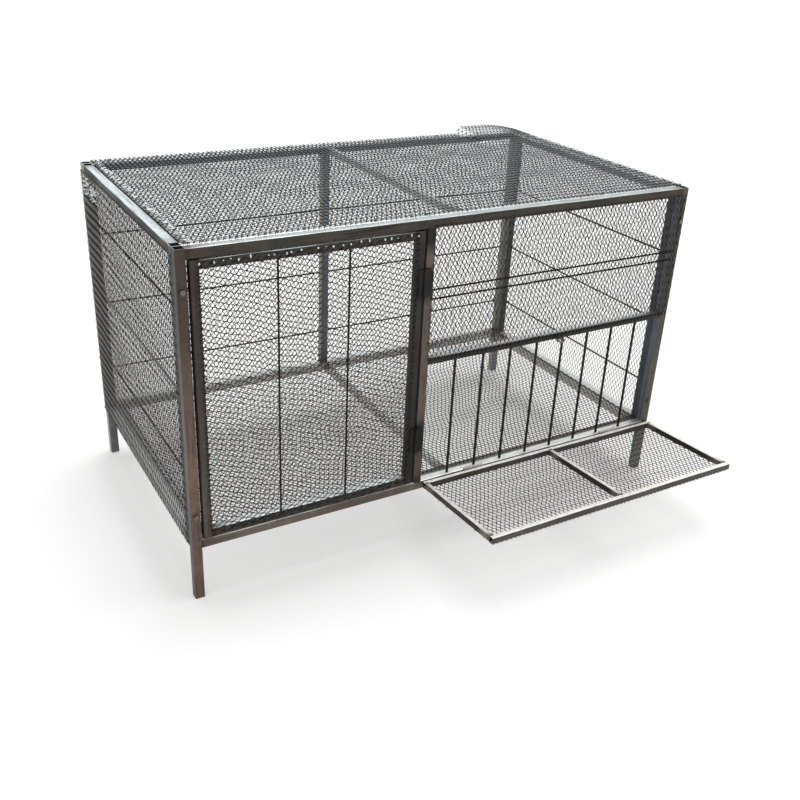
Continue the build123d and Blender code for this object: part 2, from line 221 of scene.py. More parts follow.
class SurfaceGroup:
    """A shared surface effect, built once as a node group with named sockets."""

    name = ""
    takes: Mapping[str, str] = {}
    gives: Sequence[str] = ()

    def tree(self) -> bpy.types.NodeTree:
        """Makes the group's tree the first time that it is asked for.

        Returns:
            The tree.
        """
        found = bpy.data.node_groups.get(self.name)
        if found is not None:
            return found
        made = bpy.data.node_groups.new(self.name, "ShaderNodeTree")
        for name, kind in self.takes.items():
            made.interface.new_socket(name, in_out="INPUT", socket_type=kind)
        for name in self.gives:
            made.interface.new_socket(name, in_out="OUTPUT", socket_type=FLOAT_SOCKET)
        bench = NodeBench(made)
        results = self.wire(bench, bench.node("NodeGroupInput").outputs)
        bench.node("NodeGroupOutput", results)
        return made

    def wire(self, bench: NodeBench, inputs: Any) -> Mapping[str, Any]:
        """Wires the effect.

        Args:
            bench: The bench of the group's tree.
            inputs: The group's inputs by name.

        Returns:
            What each output takes.
        """
        raise NotImplementedError


class ZincSurface(SurfaceGroup):
    """Dipped zinc: broad cloudy patches, crystal spangle and a fine grain."""

    name = "zinc_surface"
    takes = {"Vector": VECTOR_SOCKET, "Spangle Scale": FLOAT_SOCKET}
    gives = ("Patch", "Spangle", "Height")
    patch_scale = 11.0
    patch_detail = 5.0
    patch_edges = (0.36, 0.66)
    grain_scale = 420.0
    grain_detail = 4.0
    spangle_height = 0.35

    def wire(self, bench: NodeBench, inputs: Any) -> Mapping[str, Any]:
        """Noise gives the patches and the grain, a cell pattern gives the spangle.

        Args:
            bench: The bench of the group's tree.
            inputs: The group's inputs by name.

        Returns:
            What each output takes.
        """
        vector = inputs["Vector"]
        patch = bench.smooth(bench.noise(vector, self.patch_scale, self.patch_detail), *self.patch_edges)
        cells = bench.node("ShaderNodeTexVoronoi", {"Vector": vector, "Scale": inputs["Spangle Scale"]})
        spangle = bench.node("ShaderNodeSeparateColor", {0: cells.outputs["Color"]}).outputs[0]
        grain = bench.noise(vector, self.grain_scale, self.grain_detail)
        height = bench.math("ADD", bench.math("MULTIPLY", spangle, self.spangle_height), grain)
        return {"Patch": patch, "Spangle": spangle, "Height": height}


class FacingShade(SurfaceGroup):
    """Painted shade on upright and hanging faces, which fades where faces turn to the sky, and a mask of the
    faces that look along X, which get a painted tone of their own.
    """

    name = "painted_facing_shade"
    takes = {"Normal": VECTOR_SOCKET, "Patch": FLOAT_SOCKET}
    gives = ("Painted Shade", "Flank")
    patch_middle = 0.5
    unevenness = 0.3
    sky_lit_edges = (0.3, 0.85)
    flank_edges = (0.4, 0.8)

    def wire(self, bench: NodeBench, inputs: Any) -> Mapping[str, Any]:
        """The painted shade fades where the piece's normal turns upwards, and the flanks are faces that look
        along X.

        Args:
            bench: The bench of the group's tree.
            inputs: The group's inputs by name.

        Returns:
            What each output takes.
        """
        turned = bench.node("ShaderNodeSeparateXYZ", {0: inputs["Normal"]}).outputs
        patch = bench.math("SUBTRACT", inputs["Patch"], self.patch_middle)
        uneven = bench.math("MULTIPLY", patch, self.unevenness)
        sky_lit = bench.smooth(bench.math("SUBTRACT", turned["Z"], uneven), *self.sky_lit_edges)
        flank = bench.smooth(bench.math("ABSOLUTE", turned["X"]), *self.flank_edges)
        return {"Painted Shade": bench.math("SUBTRACT", 1.0, sky_lit), "Flank": flank}


class DrawnStreak(SurfaceGroup):
    """Long dark streaks that run the way that the tube was drawn."""

    name = "drawn_streak"
    takes = {"Vector": VECTOR_SOCKET, "Along": VECTOR_SOCKET}
    gives = ("Streak",)
    stretch = 0.965
    streak_scale = 190.0
    streak_detail = 4.0
    streak_edges = (0.5, 0.68)

    def wire(self, bench: NodeBench, inputs: Any) -> Mapping[str, Any]:
        """Noise on a place that has most of its run along the tube taken out.

        Args:
            bench: The bench of the group's tree.
            inputs: The group's inputs by name.

        Returns:
            What each output takes.
        """
        vector, along = inputs["Vector"], inputs["Along"]
        run = bench.vector_math("DOT_PRODUCT", {0: vector, 1: along})["Value"]
        share = bench.math("MULTIPLY", run, self.stretch)
        pulled = bench.vector_math("SCALE", {0: along, "Scale": share})["Vector"]
        place = bench.vector_math("SUBTRACT", {0: vector, 1: pulled})["Vector"]
        noise = bench.noise(place, self.streak_scale, self.streak_detail)
        return {"Streak": bench.smooth(noise, *self.streak_edges)}


class WeldHeat(SurfaceGroup):
    """The dark scorch at a welded end and the straw-coloured band beyond it."""

    name = "weld_heat"
    takes = {"Low": FLOAT_SOCKET, "High": FLOAT_SOCKET, "Patch": FLOAT_SOCKET}
    gives = ("Scorch", "Straw")
    patch_push = 18 * MM
    scorch_edges = (4 * MM, 24 * MM)
    straw_edges = (18 * MM, 60 * MM)

    def wire(self, bench: NodeBench, inputs: Any) -> Mapping[str, Any]:
        """Both fade with the distance from the nearer end, pushed about by the patches.

        Args:
            bench: The bench of the group's tree.
            inputs: The group's inputs by name.

        Returns:
            What each output takes.
        """
        near = bench.math("MINIMUM", inputs["Low"], inputs["High"])
        wavy = bench.math("ADD", near, bench.math("MULTIPLY", inputs["Patch"], self.patch_push))
        scorch = bench.math("SUBTRACT", 1.0, bench.smooth(wavy, *self.scorch_edges))
        straw = bench.math("SUBTRACT", 1.0, bench.smooth(wavy, *self.straw_edges))
        return {"Scorch": scorch, "Straw": straw}


class DarkeningSpot(SurfaceGroup):
    """A darkened patch round one point: the scorch where a fitting is welded on, and a broad darkening
    towards the top of some uprights.
    """

    name = "darkening_spot"
    takes = {
        "Vector": VECTOR_SOCKET,
        "Centre": VECTOR_SOCKET,
        "Radius": FLOAT_SOCKET,
        "Patch": FLOAT_SOCKET,
    }
    gives = ("Darkening",)
    raggedness = 0.35
    burn_edges = (0.45, 1.05)

    def wire(self, bench: NodeBench, inputs: Any) -> Mapping[str, Any]:
        """One at the point, falling to nothing at about the radius, ragged with the patches.

        Args:
            bench: The bench of the group's tree.
            inputs: The group's inputs by name.

        Returns:
            What each output takes.
        """
        gap = bench.vector_math("DISTANCE", {0: inputs["Vector"], 1: inputs["Centre"]})["Value"]
        share = bench.math("DIVIDE", gap, inputs["Radius"])
        ragged = bench.math("ADD", share, bench.math("MULTIPLY", inputs["Patch"], self.raggedness))
        return {"Darkening": bench.math("SUBTRACT", 1.0, bench.smooth(ragged, *self.burn_edges))}


@dataclass(frozen=True)
class Darkening:
    """Where a tube is darkened round a point, how far the mark reaches and how deep it is. Welded hinges
    leave such scorch marks, and broad ones darken some uprights towards their top.
    """

    centre: Point
    radius: float
    depth: float = 1.0


def new_material(name: str) -> tuple[bpy.types.Material, NodeBench, bpy.types.Node]:
    """Starts a material.

    Args:
        name: The material's name.

    Returns:
        The material, a bench for its tree, and its Principled shader.
    """
    material = bpy.data.materials.new(name)
    material.use_nodes = True
    bench = NodeBench(material.node_tree)
    return material, bench, material.node_tree.nodes["Principled BSDF"]


@dataclass(frozen=True)
class ZincFinish:
    """Zinc-coated tube: painted bright on top as a reflection of the sky, painted shade on its upright faces,
    scorched at its welds.
    """

    name: str
    bright: Rgb
    painted_shade: Rgb
    blotch: Rgb
    flank: Rgb
    darkenings: tuple[Darkening, ...] = ()
    scorch: Rgb = (26, 23, 21)
    scorch_share: float = 0.75
    straw: Rgb = (84, 68, 52)
    straw_share: float = 0.45
    streak: float = 0.45
    spangle_scale: float = 130.0
    spangle_shade: tuple[float, float] = (0.88, 1.1)
    shine: float = 0.75
    shade_shine: float = 0.4
    darkness_dulling: float = 0.3
    roughness: tuple[float, float] = (0.3, 0.42)
    shade_roughness: float = 0.16
    specular: float = 0.3
    relief: float = 0.22
    relief_depth: float = 0.4 * MM

    def darkness(self, bench: NodeBench, place: Any, patch: Any, scorch: Any) -> bpy.types.NodeSocket:
        """How darkened the tube is: the deeper of the scorch at its ends and its darkened patches.

        Args:
            bench: The bench of the material's tree.
            place: The place on the object.
            patch: The zinc's patches.
            scorch: The scorch at the ends.

        Returns:
            A mask from 0 to 1.
        """
        made = bench.math("MULTIPLY", scorch, self.scorch_share)
        for dark_spot in self.darkenings:
            spot = bench.group(
                DarkeningSpot(), {"Vector": place, "Centre": dark_spot.centre, "Radius": dark_spot.radius, "Patch": patch}
            )
            made = bench.math("MAXIMUM", made, bench.math("MULTIPLY", spot["Darkening"], dark_spot.depth))
        return made

    @cache
    def material(self) -> bpy.types.Material:
        """Makes the finish's material, once.

        Returns:
            The material.
        """
        material, bench, shader = new_material(self.name)
        coordinates = bench.node("ShaderNodeTexCoord").outputs
        place = coordinates["Object"]
        zinc = bench.group(ZincSurface(), {"Vector": place, "Spangle Scale": self.spangle_scale})
        patch = zinc["Patch"]
        facing_shade = bench.group(FacingShade(), {"Normal": coordinates["Normal"], "Patch": patch})
        painted_shade = facing_shade["Painted Shade"]
        along = bench.attribute("along")["Vector"]
        streak = bench.group(DrawnStreak(), {"Vector": place, "Along": along})["Streak"]
        low_end, high_end = (bench.attribute(end)["Fac"] for end in ("low_end", "high_end"))
        heat = bench.group(WeldHeat(), {"Low": low_end, "High": high_end, "Patch": patch})
        darkness = self.darkness(bench, place, patch, heat["Scorch"])

        # Painted light: a shade colour with blotches on upright faces, a painted tone on faces that look
        # along X, and a painted sky reflection on faces turned up
        dull = bench.blend(patch, linear(self.painted_shade), linear(self.blotch))
        dull = bench.blend(facing_shade["Flank"], dull, linear(self.flank))
        colour = bench.blend(painted_shade, linear(self.bright), dull)
        colour = bench.shade(colour, bench.spread(streak, 1.0, 1.0 - self.streak))
        colour = bench.shade(colour, bench.spread(zinc["Spangle"], *self.spangle_shade))
        straw = bench.math("MULTIPLY", heat["Straw"], self.straw_share)
        colour = bench.blend(straw, colour, linear(self.straw))
        colour = bench.blend(darkness, colour, linear(self.scorch))

        shade_rough = bench.math("MULTIPLY", painted_shade, self.shade_roughness)
        dulled = bench.math("MULTIPLY", darkness, self.darkness_dulling)
        bench.feed(
            shader,
            {
                "Base Color": colour,
                "Roughness": bench.math("ADD", bench.spread(patch, *self.roughness), shade_rough),
                "Metallic": bench.math("SUBTRACT", bench.spread(painted_shade, self.shine, self.shade_shine), dulled),
                "Normal": bench.bump(zinc["Height"], self.relief, self.relief_depth),
                "Specular IOR Level": self.specular,
            },
        )
        return material


@dataclass(frozen=True)
class SteelFinish:
    """Plain steel of one tone with cloudy patches of another, for wire, rods, hinges, bolts and welds."""

    name: str
    tone: Rgb
    patch_tone: Rgb
    metallic: float
    roughness: tuple[float, float]
    gleam: Rgb | None = None
    spangle_scale: float = 260.0
    spangle_shade: tuple[float, float] = (0.82, 1.15)
    specular: float = 0.3
    relief: float = 0.2
    relief_depth: float = 0.2 * MM

    @cache
    def material(self) -> bpy.types.Material:
        """Makes the finish's material, once.

        Returns:
            The material.
        """
        material, bench, shader = new_material(self.name)
        place = bench.node("ShaderNodeTexCoord").outputs["Object"]
        zinc = bench.group(ZincSurface(), {"Vector": place, "Spangle Scale": self.spangle_scale})
        colour = bench.blend(zinc["Patch"], linear(self.tone), linear(self.patch_tone))
        if self.gleam is not None:
            colour = bench.blend(bench.attribute("gleam")["Fac"], colour, linear(self.gleam))
        bench.feed(
            shader,
            {
                "Base Color": bench.shade(colour, bench.spread(zinc["Spangle"], *self.spangle_shade)),
                "Roughness": bench.spread(zinc["Patch"], *self.roughness),
                "Metallic": self.metallic,
                "Normal": bench.bump(zinc["Height"], self.relief, self.relief_depth),
                "Specular IOR Level": self.specular,
            },
        )
        return material


# Zinc, with painted light: the bright tops are a painted reflection of the sky, then the painted shade on
# upright faces, its blotches, and the faces that look along X with a painted tone of their own.
# Each copy's tones paint the light and shade where its members stand
LEFT_TOP_ZINC = ZincFinish("left_top_zinc", (222, 234, 237), (50, 53, 53), (44, 46, 46), (24, 26, 26))
RIGHT_TOP_ZINC = ZincFinish("right_top_zinc", (222, 234, 237), (70, 73, 73), (62, 65, 65), (96, 101, 102))
# Painted light: the left bottom rail is near white all over, to make up for the shade of the net in front of
# it
LEFT_LOW_ZINC = ZincFinish(
    "left_low_zinc", (252, 254, 254), (214, 218, 218), (196, 200, 200), (226, 230, 230), streak=0.2, shine=0.2
)
RIGHT_LOW_ZINC = ZincFinish(
    "right_low_zinc", (252, 254, 254), (92, 94, 92), (80, 81, 79), (84, 86, 84), streak=0.2, shine=0.3
)
ROOF_ZINC = ZincFinish(
    "roof_zinc", (246, 250, 250), (146, 145, 142), (130, 129, 126), (150, 147, 142), streak=0.3
)
# Painted shade: the roof's back rail, its top included, is painted darker than the other roof rails
ROOF_BACK_ZINC = ZincFinish("roof_back_zinc", (160, 162, 161), (88, 88, 86), (78, 78, 76), (96, 95, 92))
# Painted light: the roof's cross rail is near white, to make up for the shadow that the net casts on it
ROOF_CROSS_ZINC = ZincFinish(
    "roof_cross_zinc",
    (255, 255, 253),
    (222, 223, 220),
    (206, 206, 203),
    (222, 222, 218),
    streak=0.2,
    shine=0.2,
)
FLOOR_EDGE_ZINC = ZincFinish("floor_edge_zinc", (138, 135, 128), (108, 105, 99), (96, 93, 88), (108, 105, 99))
# Painted light: the floor's back, end and cross rails are near white, to make up for the shade that they
# stand in under the nets
FLOOR_ZINC = ZincFinish(
    "floor_zinc", (250, 252, 250), (232, 228, 220), (214, 210, 202), (238, 234, 226), streak=0.2, shine=0.3
)

# Steel: its tone, the tone of its patches, how metallic it is and how rough
WIRE = SteelFinish("net_wire", (36, 34, 32), (52, 49, 45), 0.45, (0.38, 0.52), gleam=(92, 89, 83))
SIDE_WIRE = SteelFinish(
    "side_net_wire", (38, 36, 34), (54, 52, 48), 0.45, (0.38, 0.52), gleam=(150, 149, 144)
)
ROOF_WIRE = SteelFinish(
    "roof_net_wire", (24, 26, 27), (38, 41, 42), 0.45, (0.36, 0.48), gleam=(132, 137, 139)
)
FLAP_WIRE = SteelFinish("flap_net_wire", (52, 49, 44), (76, 71, 64), 0.5, (0.34, 0.46), gleam=(126, 120, 109))
CUT_WIRE = SteelFinish("cut_wire", (214, 220, 221), (236, 240, 240), 0.6, (0.3, 0.42))
ROD_SCALE = SteelFinish("rod_scale", (24, 22, 21), (38, 33, 30), 0.3, (0.4, 0.56))
HINGE_SCALE = SteelFinish("hinge_scale", (27, 24, 22), (46, 40, 36), 0.4, (0.42, 0.6))
FLAP_HINGE_ZINC = SteelFinish("flap_hinge_zinc", (196, 197, 192), (166, 165, 160), 0.6, (0.32, 0.46))
EYE_ZINC = SteelFinish("eye_zinc", (128, 124, 118), (158, 154, 148), 0.6, (0.3, 0.45))
BOLT_ZINC = SteelFinish("bolt_zinc", (98, 88, 80), (126, 117, 109), 0.6, (0.3, 0.45))
BEAD_STEEL = SteelFinish("weld_bead", (44, 40, 37), (74, 68, 61), 0.5, (0.32, 0.5))
TACK_STEEL = SteelFinish("bright_tack", (226, 228, 226), (244, 245, 243), 0.5, (0.28, 0.4))


def node_points(node: str) -> np.ndarray:
    """Reads the corners of a CAD node's mesh.

    Args:
        node: The node's name.

    Returns:
        Points, one row each.
    """
    mesh = frame["nodes"][node].data
    flat = np.empty(len(mesh.vertices) * 3, dtype=np.float32)
    mesh.vertices.foreach_get("co", flat)
    return flat.reshape(-1, 3).astype(float)


def grid_quads(rows: int, columns: int, close_rows: bool = False) -> np.ndarray:
    """The quads of a grid of points whose columns close on themselves.

    Args:
        rows: How many loops of points there are.
        columns: How many points a loop has.
        close_rows: Whether the last loop joins the first.

    Returns:
        Four point numbers for each quad, outwards where columns run anticlockwise about the rows' direction.
    """
    starts = np.arange(rows if close_rows else rows - 1)
    row, column = np.meshgrid(starts, np.arange(columns), indexing="ij")
    next_row = (row + 1) % rows
    next_column = (column + 1) % columns
    corners = [
        row * columns + column,
        row * columns + next_column,
        next_row * columns + next_column,
        next_row * columns + column,
    ]
    return np.stack(corners, axis=-1).reshape(-1, 4)


def repeated(faces: np.ndarray, copies: int, points_each: int) -> np.ndarray:
    """The faces of many copies of one shape, whose points follow each other."""
    starts = np.arange(copies)[:, None, None] * points_each
    return (faces[None] + starts).reshape(-1, faces.shape[1])


def unit(vectors: np.ndarray) -> np.ndarray:
    """The vectors at a length of one."""
    return vectors / np.linalg.norm(vectors, axis=-1, keepdims=True)


@dataclass
class Piece:
    """A finished mesh and what it stands for."""

    name: str
    points: np.ndarray
    faces: Sequence[np.ndarray]
    material: bpy.types.Material
    body: str
    slot: str
    nodes: Sequence[str] = ()
    attributes: Mapping[str, np.ndarray] = field(default_factory=dict)
    vectors: Mapping[str, np.ndarray] = field(default_factory=dict)
    sharp_degrees: float = 40.0

    def place(self) -> None:
        """Puts the mesh into the scene on its body, and hides the nodes that it stands for."""
        points = np.ascontiguousarray(self.points.reshape(-1, 3), dtype=np.float32)
        corners = np.concatenate([group.ravel() for group in self.faces])
        sizes = np.concatenate([np.full(len(group), group.shape[1]) for group in self.faces])
        starts = np.concatenate([[0], np.cumsum(sizes)[:-1]])
        mesh = bpy.data.meshes.new(self.name)
        mesh.vertices.add(len(points))
        mesh.vertices.foreach_set("co", points.ravel())
        mesh.loops.add(len(corners))
        mesh.loops.foreach_set("vertex_index", corners.astype(np.int32))
        mesh.polygons.add(len(sizes))
        mesh.polygons.foreach_set("loop_start", starts.astype(np.int32))
        mesh.polygons.foreach_set("use_smooth", np.ones(len(sizes), dtype=bool))
        for kind, key, layers in (
            ("FLOAT", "value", self.attributes),
            ("FLOAT_VECTOR", "vector", self.vectors),
        ):
            for name, values in layers.items():
                layer = mesh.attributes.new(name, kind, "POINT")
                layer.data.foreach_set(key, values.astype(np.float32).ravel())
        mesh.update(calc_edges=True)
        mesh.set_sharp_from_angle(angle=math.radians(self.sharp_degrees))
        mesh.materials.append(self.material)
        made = bpy.data.objects.new(self.name, mesh)
        bpy.context.scene.collection.objects.link(made)
        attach(made, self.body)
        if self.nodes:
            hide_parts(*self.nodes)
        log.info("%s: %d faces on %s", self.name, len(sizes), self.body)


@dataclass(frozen=True)
class Span:
    """One straight tube of a member: its box when the panel is level, and the axis that it runs along."""

    low: np.ndarray
    high: np.ndarray
    axis: Axis

    @property
    def middle(self) -> np.ndarray:
        """The middle of the tube's box."""
        return (self.low + self.high) / 2

    @property
    def halves(self) -> np.ndarray:
        """Half the section's width along each of the two axes that follow the tube's own."""
        return np.roll(self.high - self.low, -self.axis.value)[1:] / 2

    @property
    def length(self) -> float:
        """The tube's length."""
        return float((self.high - self.low)[self.axis.value])

    def reach(self, direction: np.ndarray) -> float:
        """The size of the tube's box along a direction that is one of the axes."""
        return float(np.abs(direction) @ (self.high - self.low))


@dataclass(frozen=True)
class Tube:
    """A square tube, or a pair of them, that stands for one CAD node.

    A tube that is narrower than its node has what is taken off its box at the low and high ends of X, Y and
    Z. A length below nothing makes it reach further, up to a neighbour that is narrower too. A tube that
    isn't welded at its ends counts as weld_distance away from any weld.
    """

    node: str
    axis: Axis
    finish: ZincFinish
    wall: float = 1.2 * MM
    twin: bool = False
    welded: bool = True
    off_low: Point = (0.0, 0.0, 0.0)
    off_high: Point = (0.0, 0.0, 0.0)
    corner: float = 2.0 * MM
    arc_points: int = 4
    flat_inset: float = 0.5 * MM
    weld_distance: float = 1.0

    def spans(self, tilt: Tilt) -> list[Span]:
        """Reads the tubes of the node from its mesh.

        Args:
            tilt: How the panel is tipped.

        Returns:
            One tube, or the two of a pair, which stand at the ends of the node's box along X.
        """
        points = tilt.level(node_points(self.node))
        low, high = points.min(axis=0) + self.off_low, points.max(axis=0) - self.off_high
        if not self.twin:
            return [Span(low, high, self.axis)]
        side = high[2] - low[2]
        return [
            Span(low, np.array([low[0] + side, high[1], high[2]]), self.axis),
            Span(np.array([high[0] - side, low[1], low[2]]), high, self.axis),
        ]

    def section(self, halves: np.ndarray, radius: float) -> np.ndarray:
        """A rectangle with rounded corners, anticlockwise.

        Each corner is a quarter circle, with one more point just along the flat on either side, which keeps
        the flat's shading even.

        Args:
            halves: Half its width each way.
            radius: The corners' radius.

        Returns:
            Points across the section, one row each.
        """
        quarter = np.arange(4)[:, None] * math.pi / 2
        diagonal = quarter + math.pi / 4
        angles = quarter + np.linspace(0, math.pi / 2, self.arc_points)[None]
        outward = math.sqrt(2) * np.stack([np.cos(diagonal), np.sin(diagonal)], axis=-1)
        arcs = (halves - radius) * outward + radius * np.stack([np.cos(angles), np.sin(angles)], axis=-1)
        before = arcs[:, :1] - self.flat_inset * np.stack([-np.sin(quarter), np.cos(quarter)], axis=-1)
        after = arcs[:, -1:] - self.flat_inset * np.stack([np.cos(quarter), np.sin(quarter)], axis=-1)
        return np.concatenate([before, arcs, after], axis=1).reshape(-1, 2)

    def loops(self, span: Span) -> np.ndarray:
        """The tube's four loops: the outside from the low end to the high end, then the bore back again.

        Args:
            span: The tube.

        Returns:
            Points of shape loops, points, 3.
        """
        first, second = (self.axis.value + 1) % 3, (self.axis.value + 2) % 3
        outside = self.section(span.halves, self.corner)
        bore = self.section(span.halves - self.wall, self.corner - self.wall)
        shapes = ((outside, span.low), (outside, span.high), (bore, span.high), (bore, span.low))
        made = np.zeros((len(shapes), len(outside), 3))
        for loop, (shape, end) in enumerate(shapes):
            made[loop, :, first] = span.middle[first] + shape[:, 0]
            made[loop, :, second] = span.middle[second] + shape[:, 1]
            made[loop, :, self.axis.value] = end[self.axis.value]
        return made

    def build(self, body: str, slot: str, tilt: Tilt) -> None:
        """Makes the tube's piece, with each point's distance from either end as attributes.

        Args:
            body: The body that it rides on.
            slot: Its material slot.
            tilt: How the panel is tipped.
        """
        spans = self.spans(tilt)
        loops = np.stack([self.loops(span) for span in spans])
        copies, rows, columns = loops.shape[:3]
        at_high_end = np.array([[0, 1, 1, 0]])
        runs = at_high_end * np.array([[span.length] for span in spans])
        ends = {"low_end": runs, "high_end": runs.max(axis=1, keepdims=True) - runs}
        if not self.welded:
            ends = {name: np.full_like(runs, self.weld_distance) for name in ends}
        Piece(
            name=f"{self.node}_tube",
            points=tilt.tip(loops),
            faces=[repeated(grid_quads(rows, columns, close_rows=True), copies, rows * columns)],
            material=self.finish.material(),
            body=body,
            slot=slot,
            nodes=[self.node],
            attributes={name: np.repeat(end[:, :, None], columns, axis=2) for name, end in ends.items()},
            vectors={"along": np.broadcast_to(self.axis.unit(), loops.shape)},
        ).place()


@dataclass(frozen=True)
class Lift:
    """A stretch of a net's far edge that has sprung up, as shares of the edge's length."""

    start: float
    end: float
    height: float
    depth: float
    ramp: float = 0.012
    slope: float = 0.6

    def rise(self, along: np.ndarray, inward: np.ndarray, length: float) -> np.ndarray:
        """How far each point is lifted.

        A step up at the start and a long slope down to the end, times a curve that falls to nothing at the
        depth.

        Args:
            along: Distance along the edge.
            inward: Distance from the edge.
            length: The edge's length.

        Returns:
            The lift at each point.
        """
        share = along / length
        up = np.clip((share - self.start) / self.ramp, 0, 1)
        down = np.clip((self.end - share) / (self.end - self.start) / self.slope, 0, 1)
        fade = np.clip(1 - inward / self.depth, 0, 1)
        return self.height * up * np.sin(down * math.pi / 2) * fade**2 * (3 - 2 * fade)


@dataclass(frozen=True)
class Wave:
    """A slow sine wave over a net: its turns along and aside, the angle at its start and its strength."""

    along: float
    aside: float
    start: float = 0.0
    strength: float = 1.0

    def at(self, along_share: np.ndarray, aside_share: np.ndarray) -> np.ndarray:
        """The wave at these shares of the net's length along and aside."""
        turns = self.along * along_share + self.aside * aside_share
        return self.strength * np.sin(2 * math.pi * turns + self.start)


@dataclass(frozen=True)
class NetPlane:
    """The plane that a net lies in: its corner, its directions and its size."""

    origin: np.ndarray
    across: np.ndarray
    along: np.ndarray
    normal: np.ndarray
    width: float
    height: float

    def place(self, points: np.ndarray) -> np.ndarray:
        """Points across, along and out of the plane, as points of the level panel."""
        across, along, out = points[..., :1], points[..., 1:2], points[..., 2:]
        return self.origin + across * self.across + along * self.along + out * self.normal


@dataclass(frozen=True)
class WireNet:
    """Twisted six-sided wire netting that stands for one CAD net, and may lap further over its far post.

    The belly and its waves stand out of the net's plane. The sway and its waves lie in it.
    """

    node: str
    normal: Point
    twist: Axis
    finish: SteelFinish = WIRE
    strips: int = 1
    lean: float = 0.0
    lap: float = 0.0
    belly: float = 1.5 * MM
    belly_level: float = 0.6
    belly_swing: float = 0.4
    belly_turns: tuple[float, float] = (9.0, 7.0)
    belly_start: float = 2.0
    sway: float = 2.0 * MM
    sideways: tuple[Wave, ...] = (Wave(3.1, 0.7), Wave(5.3, -1.9, start=1.0, strength=0.6))
    lengthways: tuple[Wave, ...] = (Wave(4.3, -0.8, start=2.0), Wave(7.7, 1.3, strength=0.6))
    still_edge: float = 0.25
    fray: float = 1.2 * MM
    fray_rise: float = 0.5
    lift: Lift | None = None
    bright_top: bool = False
    mesh: float = 10.9 * MM
    row: float = 9.7 * MM
    twist_length: float = 4.8 * MM
    twist_points: int = 4
    edge_margin: float = 0.2
    wire: float = 1.75 * MM
    sides: int = 3
    seed: int = 7

    def plane(self, tilt: Tilt) -> NetPlane:
        """Reads the net's plane from its node's box: the face that looks away from the normal.

        Args:
            tilt: How the panel is tipped.

        Returns:
            The plane of the level panel's net.
        """
        points = tilt.level(node_points(self.node))
        box = np.array([points.min(axis=0), points.max(axis=0)])
        normal, along = np.array(self.normal), self.twist.unit()
        across = np.cross(along, normal)
        origin = np.where(normal > 0, box[0], box[1]) * np.abs(normal)
        origin = origin + (box @ across).min() * across + (box @ along).min() * along
        width = float(np.ptp(box @ across)) + self.lap
        return NetPlane(origin, across, along, normal, width, float(np.ptp(box @ along)))

    def wires(self, width: float, height: float) -> tuple[np.ndarray, np.ndarray]:
        """The centre lines of the net's wires, in its own plane, ordered across it.

        Each wire zigzags between two columns half a mesh apart, and ends midway between them. In each row it
        makes one full turn about the wire that it meets there: sideways by the cosine and outwards by the
        sine of an angle that starts an eighth of a turn in, with the other wire half a turn behind. Every
        second row turns the other way. The columns lean, so more of them are drawn than the net is wide, and
        each is cut where it leaves the net.

        Args:
            width: The net's width across the twists.
            height: The net's height along them.

        Returns:
            Points of shape wires, points, 3, which are across, along and out of the plane; and which of them
            lie on the net.
        """
        columns, rows = round(width / self.mesh), round(height / self.row)
        pitch, step = width / columns, height / rows
        spare = math.ceil(abs(self.lean) * height / 2 / pitch)
        column = np.repeat(np.arange(-spare, columns + spare), 2)[:, None]
        left = np.arange(len(column))[:, None] % 2
        row = np.arange(rows)
        swing = np.abs(left - row % 2)
        centre = (column + 0.5 * (left + swing)) * pitch
        side = np.where(swing == 0, 1.0, -1.0)

        turn = math.pi / 4 + 2 * math.pi / self.twist_points * np.arange(self.twist_points)
        across = centre[..., None] + side[..., None] * self.wire / 2 * np.cos(turn)
        out = side[..., None] * (1 - row % 2 * 2)[:, None] * self.wire / 2 * np.sin(turn)
        along = (row[:, None] + 0.5) * step + self.twist_length * np.linspace(-0.5, 0.5, self.twist_points)

        rng = np.random.default_rng(self.seed)
        wires = len(column)
        loose = rng.uniform(0, self.fray, (2, wires, 1))
        risen = self.fray_rise * loose
        middle = (column + 0.25 + 0.5 * left) * pitch
        across = np.concatenate([middle, across.reshape(wires, -1), middle], axis=1)
        out = np.concatenate([risen[0], out.reshape(wires, -1), risen[1]], axis=1)
        along = np.concatenate([-loose[0], np.tile(along.ravel(), (wires, 1)), height + loose[1]], axis=1)

        sloped = self.lean * (along - height / 2)
        margin = self.edge_margin * pitch
        inside = (middle + sloped > margin) & (middle + sloped < width - margin)
        across = across + sloped
        shares = np.clip(across / width, 0, 1), np.clip(along / height, 0, 1)
        lifted = 0.0 if self.lift is None else self.lift.rise(across, height - along, width)
        aside, onward = self.wander(*shares)
        out = out + (self.slack(*shares) + lifted)
        return np.stack([across + aside, along + onward, out], axis=-1), inside

    def wander(self, across_share: np.ndarray, along_share: np.ndarray) -> tuple[np.ndarray, np.ndarray]:
        """How far slow waves move the wires in the net's plane, as stretching by hand leaves them.

        Each way the move is two sine waves that run mostly the other way. They fade out towards the edges.

        Args:
            across_share: Places across the net, as shares of its width.
            along_share: Places along it, as shares of its height.

        Returns:
            The moves across and along.
        """
        fade = self.sway
        for share in (across_share, along_share):
            fade = fade * np.clip(np.minimum(share, 1 - share) / self.still_edge, 0, 1)
        aside = sum(wave.at(along_share, across_share) for wave in self.sideways)
        onward = sum(wave.at(across_share, along_share) for wave in self.lengthways)
        return fade * aside, fade * onward

